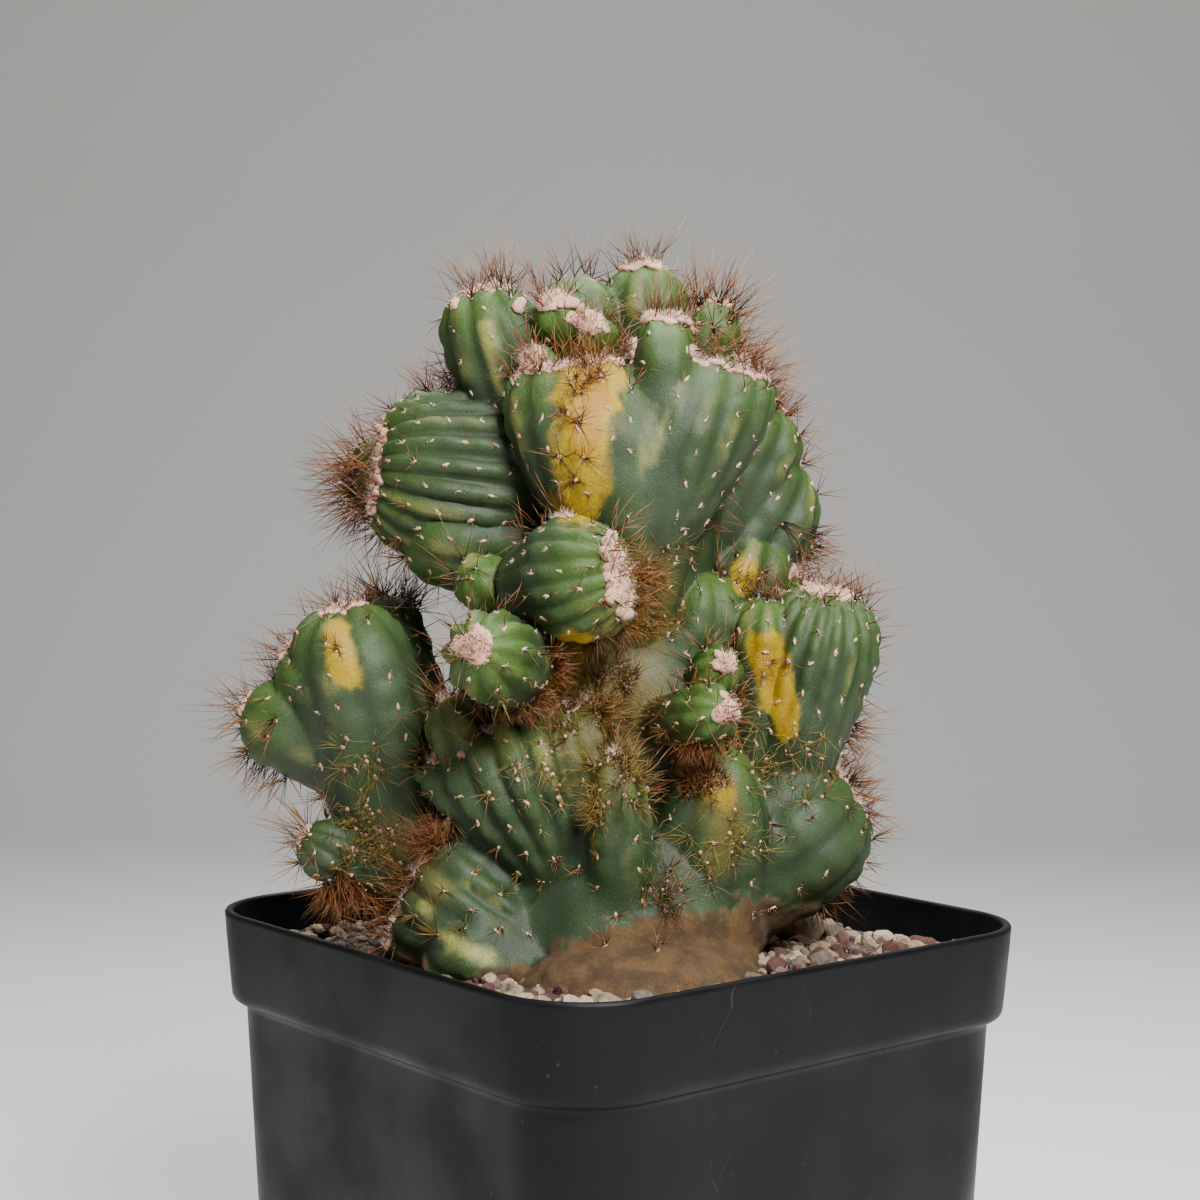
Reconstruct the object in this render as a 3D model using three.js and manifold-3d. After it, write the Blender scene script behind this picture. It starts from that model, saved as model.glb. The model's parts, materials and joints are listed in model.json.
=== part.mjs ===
// A potted monstrose Cereus forbesii: a square black nursery pot, a gritty growing mix,
// loose stones, and one many-headed cactus that grew as a single piece.
// Millimetres, +Z up, origin at the centre of the pot's underside.

import * as THREE from 'three';
import { ParametricGeometry } from 'three/addons/geometries/ParametricGeometry.js';
import { mergeVertices } from 'three/addons/utils/BufferGeometryUtils.js';
import Module from 'manifold-3d';

const wasm = await Module();
wasm.setup();

// Pot
const POT_HEIGHT = 84;
const RIM_HALF = 44;
const BAND_HALF = 43.3;
const BODY_HALF = 41.4;
const BASE_HALF = 37.9;
const WALL = 1.2;
const BAND_HEIGHT = 13.4;
const BAND_FOOT = POT_HEIGHT - BAND_HEIGHT;
const RIM_CORNER = 13;
const BODY_CORNER = 12;
const BASE_CORNER = 9.5;
const LIP = 0.7;
const FOOT_EDGE = 1.5;
const STEP_HEIGHT = 1.8;
const CORNER_STEPS = 5;
const OUTLINE_STEPS = 4 * (CORNER_STEPS + 1);
const DRAIN_RADIUS = 4.5;
const DRAIN_PLACE = 23;

// Growing mix
const GAP = 0.3;
const MIX_LOW = 77.2;
const MIX_RISE = 3.6;
const MIX_RINGS = 7;
const GRIT_HEIGHT = 1.1;
const GRIT_COUNT = 34;
const PLUG_DEPTH = 19;
const BIG_STONE = 2.4;
const SUNK_BELOW = 85;

// Cactus
const PLANT_TURN = THREE.MathUtils.degToRad(-39.7);
const SPINE_RADIUS = 0.36;
const SPINE_LENGTH = 7;
const SPINE_ROOT = 1.6;
const AREOLE_STEP = 8.8;
const CLEAR_OF_MIX = 3;
const CAP_SHARE = 0.5;
const SMALL_HEAD = 5;
const SHALLOW_FURROW = 0.8;
const BARE_SHARE = 0.9;
const SHORT_EDGE = 0.05;
const OFF_RIDGE = 0.16;

// A repeatable stream of numbers from 0 to 1.
function seeded(seed) {
  let state = seed;
  return () => {
    state = (state + 0x6d2b79f5) | 0;
    let mixed = Math.imul(state ^ (state >>> 15), 1 | state);
    mixed = (mixed + Math.imul(mixed ^ (mixed >>> 7), 61 | mixed)) ^ mixed;
    return ((mixed ^ (mixed >>> 14)) >>> 0) / 4294967296;
  };
}

const vec = (place) => new THREE.Vector3(...place);
const mix = THREE.MathUtils.lerp;
const ease = THREE.MathUtils.smoothstep;

// A closed three.js geometry as a solid that can be joined and cut.
function solid(geometry) {
  const bare = geometry.clone();
  bare.deleteAttribute('normal');
  bare.deleteAttribute('uv');
  const merged = mergeVertices(bare, 1e-4);
  const corners = merged.index.array;
  const kept = [];
  for (let i = 0; i < corners.length; i += 3) {
    const [a, b, c] = [corners[i], corners[i + 1], corners[i + 2]];
    if (a !== b && b !== c && c !== a) kept.push(a, b, c);
  }
  return new wasm.Manifold(new wasm.Mesh({
    numProp: 3,
    vertProperties: new Float32Array(merged.attributes.position.array),
    triVerts: new Uint32Array(kept),
  }));
}

function geometryOf(body) {
  const mesh = body.getMesh();
  const geometry = new THREE.BufferGeometry();
  geometry.setAttribute('position', new THREE.BufferAttribute(new Float32Array(mesh.vertProperties), 3));
  geometry.setIndex(new THREE.BufferAttribute(new Uint32Array(mesh.triVerts), 1));
  geometry.computeVertexNormals();
  return geometry;
}

// The largest joined body, with any sealed hollow filled and any loose scrap left out.
function largest(body) {
  return body.decompose().reduce((best, next) => (next.volume() > best.volume() ? next : best));
}

function node(name, geometry, color, roughness) {
  const mesh = new THREE.Mesh(geometry, new THREE.MeshStandardMaterial({ color, roughness, metalness: 0 }));
  mesh.name = name;
  return mesh;
}

// Rounded square

// Point number i of OUTLINE_STEPS on a rounded square, anticlockwise from the +X side's start.
function outlinePoint(half, radius, i) {
  const step = ((i % OUTLINE_STEPS) + OUTLINE_STEPS) % OUTLINE_STEPS;
  const corner = Math.floor(step / (CORNER_STEPS + 1));
  const angle = ((step % (CORNER_STEPS + 1)) / CORNER_STEPS + corner) * (Math.PI / 2);
  const middle = half - radius;
  const sx = corner === 0 || corner === 3 ? 1 : -1;
  const sy = corner < 2 ? 1 : -1;
  return [sx * middle + radius * Math.cos(angle), sy * middle + radius * Math.sin(angle)];
}

// A closed solid whose rows are rounded squares: each row is [half, corner radius, z].
function squareTurning(rows) {
  const place = (u, v, target) => {
    const [half, radius, z] = rows[Math.round(v * (rows.length - 1))];
    const [x, y] = outlinePoint(half, radius, Math.round(u * OUTLINE_STEPS));
    target.set(x, y, z);
  };
  return new ParametricGeometry(place, OUTLINE_STEPS, rows.length - 1);
}

// Pot

function potBody() {
  const rows = [
    [0, 0, 0],
    [BASE_HALF - FOOT_EDGE, BASE_CORNER, 0],
    [BASE_HALF, BASE_CORNER, FOOT_EDGE],
    [BODY_HALF, BODY_CORNER, BAND_FOOT - 1],
    [BODY_HALF + 0.3, BODY_CORNER, BAND_FOOT],
    [BAND_HALF - 0.3, RIM_CORNER, BAND_FOOT + 0.7],
    [BAND_HALF, RIM_CORNER, BAND_FOOT + STEP_HEIGHT],
    [RIM_HALF, RIM_CORNER, POT_HEIGHT - LIP],
    [RIM_HALF - 0.3, RIM_CORNER, POT_HEIGHT],
    [RIM_HALF - WALL + 0.2, RIM_CORNER - WALL, POT_HEIGHT],
    [RIM_HALF - WALL, RIM_CORNER - WALL, POT_HEIGHT - LIP],
    [BAND_HALF - WALL, RIM_CORNER - WALL, BAND_FOOT + STEP_HEIGHT],
    [BODY_HALF - WALL, BODY_CORNER - WALL, BAND_FOOT - 0.6],
    [BASE_HALF - WALL, BASE_CORNER - WALL, WALL + FOOT_EDGE],
    [BASE_HALF - WALL - FOOT_EDGE, BASE_CORNER - WALL, WALL],
    [0, 0, WALL],
  ];
  let body = solid(squareTurning(rows));
  for (const sx of [-1, 1]) {
    for (const sy of [-1, 1]) {
      const drill = new THREE.CylinderGeometry(DRAIN_RADIUS, DRAIN_RADIUS, 4 * WALL, 16);
      drill.rotateX(Math.PI / 2);
      drill.translate(sx * DRAIN_PLACE, sy * DRAIN_PLACE, WALL / 2);
      body = body.subtract(solid(drill));
    }
  }
  return body;
}

// Heads of the cactus
//
// The plant has axes of its own: x to its right, y to its back, z up from the pot's underside.
// A head grows from its foot to its tip. `wide` and `deep` are half its section along `across`
// and square to it. `foot` is the foot's share of that size. `crest` is how much of the width is
// left at the tip, where a crested head grows from a line and not from a point. `spread` is half
// the angle over which the ribs of a fan part from each other, and `lobes` is how deep the notches
// between them are along a crest. `furrow` is the depth of the grooves between its ribs, and `pad`
// is the radius of the wool on its tip.

const HEADS = [
  // Trunk and the inner mass that carries the heads
  { name: 'root', from: [0, -8, 81 - PLUG_DEPTH], to: [0, -8, 104], wide: 21, deep: 23, ribs: 8 },
  { name: 'core_low', from: [-2, -3, 88], to: [-2, -5, 131], wide: 21, deep: 17, ribs: 8, foot: 0.85 },
  { name: 'core', from: [0, 0, 104], to: [2, -2, 166], wide: 14, deep: 14, ribs: 8, foot: 0.9 },

  // Top: the big fan in front, with small heads round and behind it
  { name: 'fan_right', from: [2, -8.5, 124], to: [11.8, -15, 163], wide: 12.8, deep: 11.5, ribs: 14,
    across: [0.94, 0, -0.34], spread: 0.29, foot: 0.75, crest: 0.75, furrow: 0.6, lobes: 0.7, pad: 1.6 },
  { name: 'fan_middle', from: [3, -8, 126], to: [6.8, -16, 168.4], wide: 4.6, deep: 9.5, ribs: 6, foot: 0.7,
    crest: 0.5, round: 1.6, furrow: 0.6, pad: 1.9 },
  { name: 'fan_left', from: [-1, -9, 124], to: [-6.9, -19, 161.6], wide: 11.2, deep: 11, ribs: 12,
    across: [1, 0, 0.3], spread: 0.26, foot: 0.7, crest: 0.6, furrow: 0.6, lobes: 0.6, pad: 1.2 },
  { name: 'fan_web', from: [1, -8.6, 123], to: [1.7, -16.8, 160.6], wide: 10.2, deep: 12.6, ribs: 8,
    foot: 0.7, crest: 0.3, round: 1.5 },
  { name: 'finger', from: [-9, -4, 138], to: [-19, -9, 172.4], wide: 7.2, deep: 7.5, ribs: 8,
    across: [1, 0, 0.3], foot: 0.7, crest: 0.4, furrow: 1.3, lobes: 0.8, pad: 2 },
  { name: 'crown', from: [-4, -4, 148], to: [-6, -7, 175], wide: 7, deep: 8, ribs: 8, furrow: 0.8 },
  { name: 'crown_knob_1', from: [-7, -10, 164], to: [-9, -15, 171], wide: 3.6, deep: 3.2, ribs: 6,
    pad: 2.3 },
  { name: 'crown_knob_2', from: [-2, -9, 162], to: [-3.6, -16, 168], wide: 3.4, deep: 3.2, ribs: 6,
    pad: 1.9 },
  { name: 'crown_knob_3', from: [-8, -12, 158], to: [-11.4, -18.5, 163], wide: 3.2, deep: 3.2, ribs: 6,
    pad: 1.7 },
  { name: 'top', from: [4, -2, 156], to: [3.6, -4, 177], wide: 6.8, deep: 7, ribs: 7, furrow: 1, pad: 2.4 },
  { name: 'top_right', from: [9, -2, 156], to: [14.8, -3, 171.4], wide: 4.4, deep: 5, ribs: 6, furrow: 0.6,
    pad: 1.6 },
  { name: 'top_shoulder', from: [8, 0, 150], to: [17.6, -5, 163], wide: 5, deep: 6, ribs: 6, furrow: 0.6,
    pad: 1.4 },

  // Upper left: the drum, growing sideways from an upright crest
  { name: 'drum', from: [-4, -3, 144], to: [-33.2, -10, 147.8], wide: 13, deep: 12, ribs: 22,
    across: [0.1, 0, 1], foot: 0.72, crest: 0.5, round: 1.15, furrow: 1.5, lobes: 0.8, pad: 1.6 },
  { name: 'drum_low', from: [-6, -6, 137], to: [-29, -11, 138.5], wide: 7, deep: 9, ribs: 8,
    across: [0, 0, 1], crest: 0.3, furrow: 0.7 },
  { name: 'drum_top', from: [-10, -2, 148], to: [-22.5, -5, 159.4], wide: 6.4, deep: 7, ribs: 8,
    furrow: 0.8, pad: 1.6 },
  { name: 'drum_back', from: [-18, 4, 146], to: [-38, 1, 147], wide: 6.5, deep: 6, ribs: 8,
    across: [0, 0, 1], crest: 0.4, furrow: 0.8, pad: 1.5 },

  // Upper right, behind the fan
  { name: 'shoulder', from: [8, 4, 128], to: [23.2, 6, 157.4], wide: 7.4, deep: 8.5, ribs: 8, furrow: 1.2,
    pad: 1.8 },
  { name: 'elbow', from: [8, 4, 122], to: [26, 10, 149.4], wide: 9.4, deep: 9.5, ribs: 9, foot: 0.75,
    furrow: 1.3, pad: 1.5 },
  { name: 'elbow_low', from: [8, 2, 112], to: [21.5, 5, 140], wide: 8.6, deep: 8.6, ribs: 8, furrow: 1.2 },
  { name: 'right_stem', from: [8, -3, 98], to: [12, -6, 134], wide: 8.6, deep: 7.5, ribs: 8, foot: 0.9,
    furrow: 1.2 },

  // Pups in front
  { name: 'middle_pup', from: [-12.5, -22, 132.5], to: [0.2, -34, 134], wide: 8.4, deep: 8, ribs: 16,
    across: [-0.42, 0, 0.9], foot: 0.6, crest: 0.5, furrow: 0.8, lobes: 0.6, pad: 1.7 },
  { name: 'middle_knob', from: [-7, -20, 134], to: [-7, -26, 141], wide: 3, deep: 3, ribs: 6, pad: 1.3 },
  { name: 'dark_pup', from: [-10, -12, 127], to: [-20, -24, 134], wide: 4, deep: 4, ribs: 7, furrow: 0.5 },
  { name: 'front_pup', from: [-10, -15, 119], to: [-17.6, -41.5, 125.2], wide: 6.4, deep: 6.4, ribs: 10,
    foot: 0.6, furrow: 1.1, pad: 2.2 },
  { name: 'right_pup', from: [4, -16, 113], to: [14.6, -30.5, 116.4], wide: 4.3, deep: 4.3, ribs: 9,
    foot: 0.7, furrow: 0.7, pad: 1.7 },
  { name: 'right_pup_high', from: [10, -10, 116], to: [14.6, -21.5, 122], wide: 3.5, deep: 3.5, ribs: 8,
    furrow: 0.6, pad: 1.4 },

  // Left stem
  { name: 'left_stem', from: [-25, -9, 88], to: [-38.2, -12, 128.6], wide: 9.2, deep: 9, ribs: 7,
    bend: [-3, 0, -1], foot: 0.9, crest: 0.3, furrow: 0.8, lobes: 1, pad: 1.5 },
  { name: 'left_back', from: [-24, 0, 98], to: [-34.6, 1, 129.8], wide: 5.8, deep: 6.5, ribs: 8, foot: 0.9,
    furrow: 0.9, pad: 1.5 },
  { name: 'left_nub', from: [-34, -9, 107], to: [-51.6, -10, 114.6], wide: 6.4, deep: 6.2, ribs: 7,
    foot: 1.1, round: 0.9, furrow: 0.6, pad: 1.4 },
  { name: 'left_lobe', from: [-34, -10, 112], to: [-45.4, -11.5, 122.6], wide: 6.2, deep: 7, ribs: 7,
    foot: 1, furrow: 0.6, pad: 1.3 },
  { name: 'left_foot', from: [-22, -10, 90], to: [-31.5, -13, 101.5], wide: 8, deep: 8, ribs: 8, foot: 1,
    furrow: 0.5 },
  { name: 'low_pup', from: [-30, -12, 90], to: [-42.4, -16.5, 97.6], wide: 4.3, deep: 4.2, ribs: 9,
    furrow: 0.7, pad: 1.2 },

  // Lower body: folds that spread like a fan, and a column beside them
  { name: 'sweep_high', from: [-2.2, -14.5, 85], to: [-15.2, -21, 114.4], wide: 16, deep: 10, ribs: 16,
    spread: 0.38, foot: 1, crest: 0.85, furrow: 1.5, lobes: 2.2, pad: 1 },
  { name: 'sweep_knob', from: [-14, -14, 98], to: [-23.2, -19, 116.6], wide: 4.8, deep: 7, ribs: 6, foot: 1,
    round: 1.4, furrow: 0.9, pad: 1 },
  { name: 'sweep_low', from: [-3, -15, 80], to: [-28, -19.5, 92], wide: 12.5, deep: 11.5, ribs: 14,
    across: [0.43, 0, 0.9], spread: 0.38, foot: 1, crest: 0.8, furrow: 1.5, lobes: 1.2, pad: 1.2 },
  { name: 'hem', from: [4, -17, 79.5], to: [-25, -26, 83.6], wide: 6.4, deep: 8, ribs: 8,
    across: [0.1, 0, 1], foot: 0.9, crest: 0.3, furrow: 0.9 },
  { name: 'collar', from: [3, -16, 79], to: [2, -42, 79.6], wide: 15, deep: 6.4, ribs: 10, foot: 1.2,
    round: 1.4 },
  { name: 'apron', from: [8, -12, 83], to: [-10, -21, 102], wide: 9, deep: 9.5, ribs: 10,
    across: [0.7, 0, 0.7], foot: 0.8, furrow: 0.8 },
  { name: 'column', from: [1, -21, 84], to: [-0.2, -27.6, 110.6], wide: 4.8, deep: 6.5, ribs: 6, foot: 1.2,
    round: 2, furrow: 0.8, pad: 1 },

  // Lower right body and the club that stands on it
  { name: 'right_foot', from: [12, -13, 83], to: [13.4, -19, 110.8], wide: 8.6, deep: 8.2, ribs: 8, foot: 1,
    round: 1.6, furrow: 0.7 },
  { name: 'right_low', from: [9, -7, 86], to: [33.6, -4, 102.6], wide: 11, deep: 12, ribs: 9,
    across: [-0.4, 0, 0.9], foot: 0.9, crest: 0.4, furrow: 0.8, lobes: 0.8, pad: 1.4 },
  { name: 'club', from: [22, -3, 98], to: [30, -9, 130.8], wide: 9, deep: 9.2, ribs: 18, foot: 0.66,
    crest: 0.35, furrow: 0.9, lobes: 0.5, pad: 1.9 },
  { name: 'club_left', from: [19, -5, 104], to: [21, -9.5, 130], wide: 5, deep: 7, ribs: 8, furrow: 0.7 },
  { name: 'club_back', from: [22, 2, 106], to: [26, 3, 132.6], wide: 6.2, deep: 6.5, ribs: 9, furrow: 0.8,
    pad: 1.6 },

  // Back of the plant
  { name: 'back_fan', from: [-2, 6, 122], to: [-8, 19, 162], wide: 13, deep: 10, ribs: 12,
    across: [0.95, 0, 0.2], spread: 0.27, foot: 0.7, crest: 0.7, furrow: 1.2, lobes: 1, pad: 1.7 },
  { name: 'back_top', from: [4, 4, 148], to: [7, 9, 172], wide: 7, deep: 7, ribs: 8, furrow: 0.9,
    pad: 1.9 },
  { name: 'back_right', from: [8, 8, 116], to: [15, 24, 147], wide: 8.5, deep: 8.5, ribs: 9, foot: 0.7,
    furrow: 1.1, pad: 1.8 },
  { name: 'back_drum', from: [-6, 6, 124], to: [-21, 21, 141], wide: 9, deep: 8, ribs: 10,
    across: [0.3, 0, 1], foot: 0.75, crest: 0.4, furrow: 1.2, pad: 1.6 },
  { name: 'back_pup', from: [-2, 10, 112], to: [-4, 27, 125], wide: 6.4, deep: 6.4, ribs: 10, foot: 0.7,
    furrow: 1, pad: 1.8 },
  { name: 'back_stem', from: [8, 8, 90], to: [19, 20, 121], wide: 8.4, deep: 8.4, ribs: 8, foot: 0.9,
    furrow: 1.1, pad: 1.7 },
  { name: 'back_low', from: [-6, 6, 86], to: [-14, 21, 111], wide: 9.5, deep: 9, ribs: 9, foot: 0.9,
    furrow: 1.2, pad: 1.6 },
  { name: 'back_foot', from: [2, 4, 85], to: [2, 21, 98], wide: 10, deep: 9, ribs: 9, furrow: 1, pad: 1.4 },
];

// Angle on a section at the even distance u round it, so that ribs are alike on a wide head.
function evenAngle(wide, deep, u) {
  const STEPS = 48;
  const lengths = [0];
  for (let i = 0; i < STEPS; i += 1) {
    const angle = ((i + 0.5) / STEPS) * Math.PI;
    lengths.push(lengths[i] + Math.hypot(wide * Math.sin(angle), deep * Math.cos(angle)));
  }
  const half = u > 0.5 ? 1 - u : u;
  const wanted = 2 * half * lengths[STEPS];
  let i = 0;
  while (i < STEPS - 1 && lengths[i + 1] < wanted) i += 1;
  const angle = ((i + (wanted - lengths[i]) / (lengths[i + 1] - lengths[i])) / STEPS) * Math.PI;
  return u > 0.5 ? 2 * Math.PI - angle : angle;
}

const lengthOf = (head) => vec(head.to).distanceTo(vec(head.from));

// Share of the way along a head at which its round cap starts.
function capStart(head) {
  const cap = (head.round ?? 1) * Math.min(head.wide, head.deep);
  return THREE.MathUtils.clamp(1 - cap / lengthOf(head), 0.15, 0.9);
}

// Point of a head's skin: u goes once round it, q from the foot's edge to the tip.
function skinPoint(head, u, q) {
  const belly = capStart(head);
  const capAngle = q > 1 - CAP_SHARE ? ((q - 1 + CAP_SHARE) / CAP_SHARE) * (Math.PI / 2) : 0;
  const along = capAngle > 0 ? belly + (1 - belly) * Math.sin(capAngle) : (belly * q) / (1 - CAP_SHARE);
  const closing = Math.cos(capAngle);
  const crest = head.crest ?? 0;
  const swell = mix(head.foot ?? 0.8, 1, ease(along, 0, belly));

  const from = vec(head.from);
  const to = vec(head.to);
  const middle = from.clone().lerp(to, 0.5).add(vec(head.bend ?? [0, 0, 0]));
  const centre = from.clone().multiplyScalar((1 - along) ** 2);
  centre.addScaledVector(middle, 2 * along * (1 - along)).addScaledVector(to, along ** 2);
  const heading = middle.clone().sub(from).multiplyScalar(1 - along);
  heading.addScaledVector(to.clone().sub(middle), along).normalize();
  const across = vec(head.across ?? [1, 0.01, 0]);
  across.addScaledVector(heading, -across.dot(heading)).normalize();
  const outward = heading.clone().cross(across);

  const angle = evenAngle(head.wide, head.deep, u);
  const groove = 1 - Math.abs(Math.cos(Math.PI * head.ribs * u));
  const fading = ease(along, 0.45 * belly, 0.3 + 0.7 * belly);
  const depth = ((head.furrow ?? 0.4) / Math.min(head.wide, head.deep)) * fading;
  const scale = swell * (1 - depth * groove);
  let side = head.wide * scale * mix(closing, 1, crest) * Math.cos(angle);
  let rise = -(head.lobes ?? 0) * groove * (1 - closing);
  if (head.spread) {
    const radius = head.wide / head.spread;
    const reach = radius - lengthOf(head) * (1 - along) + rise;
    rise += reach * (Math.cos(side / radius) - 1);
    side = reach * Math.sin(side / radius);
  }
  centre.addScaledVector(heading, rise).addScaledVector(across, side);
  return centre.addScaledVector(outward, head.deep * scale * closing * Math.sin(angle));
}

function headBody(head) {
  const rows = head.wide < SMALL_HEAD ? 4 : 5;
  const around = (head.furrow ?? 0) < SHALLOW_FURROW ? head.ribs + 1 : 2 * head.ribs;
  const place = (u, v, target) => {
    const row = Math.round(v * rows);
    if (row === 0) target.set(...head.from);
    else target.copy(skinPoint(head, Math.round(u * around) / around, (row - 1) / (rows - 1)));
  };
  return solid(new ParametricGeometry(place, around, rows));
}

// Outward direction of a head's skin at (u, q).
function skinNormal(head, u, q) {
  const step = 0.01;
  const round = skinPoint(head, (u + step) % 1, q).sub(skinPoint(head, (u + 1 - step) % 1, q));
  const up = skinPoint(head, u, Math.min(q + step, 0.995)).sub(skinPoint(head, u, q - step));
  return round.cross(up).normalize();
}

// Areoles: just beside each rib's ridge, a step apart from near the tip down to the foot.
function areolesOf(head) {
  const places = [];
  for (let rib = 0; rib < head.ribs; rib += 1) {
    const u = (rib + OFF_RIDGE) / head.ribs;
    let travelled = (rib % 2) * AREOLE_STEP * 0.5 + AREOLE_STEP * 0.4;
    let last = skinPoint(head, u, 0.985);
    for (let q = 0.985; q > 0.1; q -= 0.01) {
      const point = skinPoint(head, u, q);
      travelled += point.distanceTo(last);
      last = point;
      if (travelled < AREOLE_STEP) continue;
      travelled = 0;
      places.push({ point, normal: skinNormal(head, u, q) });
    }
  }
  return places;
}

// Turns a shape whose own axis is +Y so that it points along a direction from a place.
function stand(geometry, direction, place) {
  const turn = new THREE.Quaternion().setFromUnitVectors(new THREE.Vector3(0, 1, 0), direction);
  geometry.applyQuaternion(turn);
  geometry.translate(place.x, place.y, place.z);
  return geometry;
}

function spine(root, direction, length) {
  const cone = new THREE.ConeGeometry(SPINE_RADIUS, length + SPINE_ROOT, 3);
  cone.translate(0, (length + SPINE_ROOT) / 2 - SPINE_ROOT, 0);
  return solid(stand(cone, direction, root));
}

function woolTuft(root, direction, radius) {
  const tuft = new THREE.OctahedronGeometry(radius);
  tuft.scale(1, 0.7, 1);
  return solid(stand(tuft, direction, root));
}

const rayTest = new THREE.Raycaster();

// Distance from a place to the skin along a direction; negative when the place is inside it.
function clearance(skin, place, direction) {
  rayTest.set(place, direction);
  const hits = rayTest.intersectObject(skin);
  if (hits.length === 0) return Infinity;
  return hits[0].face.normal.dot(direction) > 0 ? -hits[0].distance : hits[0].distance;
}

function cactusBody() {
  const random = seeded(51);
  let body = solid(new THREE.IcosahedronGeometry(4).translate(0, -6, 90));
  for (const head of HEADS) body = body.add(headBody(head));
  body = largest(body);
  const skin = new THREE.Mesh(geometryOf(body), new THREE.MeshBasicMaterial({ side: THREE.DoubleSide }));

  const small = [];
  const addSpine = (root, direction, length) => {
    const start = root.clone().addScaledVector(direction, SPINE_ROOT);
    const tip = root.clone().addScaledVector(direction, length);
    const free = clearance(skin, start, direction) > length;
    if (free && tip.z > POT_HEIGHT + CLEAR_OF_MIX) small.push(spine(root, direction, length));
  };
  const leaning = (normal, amount) => {
    const lean = new THREE.Vector3(random() - 0.5, random() - 0.5, random() - 0.5).multiplyScalar(amount);
    return normal.clone().add(lean).normalize();
  };
  for (const head of HEADS) {
    if (!head.pad) continue;
    const tip = skinPoint(head, 0, 1).lerp(skinPoint(head, 0.5, 1), 0.5);
    const heading = vec(head.to).sub(vec(head.from)).normalize();
    small.push(woolTuft(tip.addScaledVector(heading, -0.3), heading, head.pad));
    addSpine(tip, leaning(heading, 1), SPINE_LENGTH * 1.1);
  }
  for (const { point, normal } of HEADS.flatMap(areolesOf)) {
    const outside = point.clone().addScaledVector(normal, 0.4);
    if (clearance(skin, outside, normal) < SPINE_LENGTH || outside.z < POT_HEIGHT + CLEAR_OF_MIX) continue;
    if (random() < BARE_SHARE) continue;
    addSpine(point, leaning(normal, 1.1), SPINE_LENGTH * mix(0.75, 1.15, random()));
  }
  return largest(wasm.Manifold.union([body, ...small])).simplify(SHORT_EDGE);
}

// Growing mix and stones, both set out along the plant's own axes

const STONES = [
  { place: [27, 9, 80.6], size: [4.2, 3, 2.9] },
  { place: [32.6, 12, 79.4], size: [1.6, 1.5, 1.8] },
  { place: [23.4, 7, 78.4], size: [2.2, 1.8, 1.6] },
  { place: [36, 13, 78], size: [2, 1.7, 1.3] },
  { place: [41, 12, 78], size: [1.7, 1.6, 1.1] },
  { place: [46, 8, 78.2], size: [2.2, 1.3, 1.1] },
  { place: [50.4, 4, 78.4], size: [1.8, 1.2, 1.1] },
  { place: [31, 3, 78], size: [3, 1.9, 1.3] },
  { place: [-13.5, -43.5, 81.2], size: [1.8, 1.4, 1.2] },
  { place: [-4, -47.6, 81.6], size: [2.2, 1.5, 1.2] },
  { place: [8.5, -44.6, 81.2], size: [1.9, 1.5, 1.2] },
  { place: [-34, 10, 78.4], size: [2.6, 2.2, 1.7] },
  { place: [-6, 40, 78], size: [2.6, 2.2, 1.8] },
  { place: [12, 36, 78.2], size: [2.2, 2.6, 1.6] },
];

// Height of the mix: banked up towards the front corner, with a low gritty relief.
function mixHeight(x, y) {
  const bank = MIX_RISE * ease(-y, -20, 40);
  const grit = Math.sin(1.9 * x + 1.3 * Math.sin(1.1 * y)) * Math.sin(1.7 * y + 1.1 * Math.sin(1.3 * x));
  return MIX_LOW + bank + GRIT_HEIGHT * (0.5 + 0.5 * grit);
}

function pebble(seed, size, place, grown) {
  const random = seeded(seed);
  const shape = new THREE.IcosahedronGeometry(1, size[0] > BIG_STONE ? 1 : 0);
  const anyWay = () => new THREE.Vector3(random() - 0.5, random() - 0.5, random() - 0.5).normalize();
  const shifts = Array.from({ length: 4 }, anyWay);
  const position = shape.attributes.position;
  const corner = new THREE.Vector3();
  for (let i = 0; i < position.count; i += 1) {
    corner.fromBufferAttribute(position, i);
    const bulge = shifts.reduce((sum, shift) => sum + 0.09 * Math.sin(3 * corner.dot(shift)), 1);
    corner.multiplyScalar(bulge).multiply(new THREE.Vector3(...size).addScalar(grown));
    position.setXYZ(i, ...corner);
  }
  shape.rotateZ(Math.PI * random());
  return shape.translate(...place);
}

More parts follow.
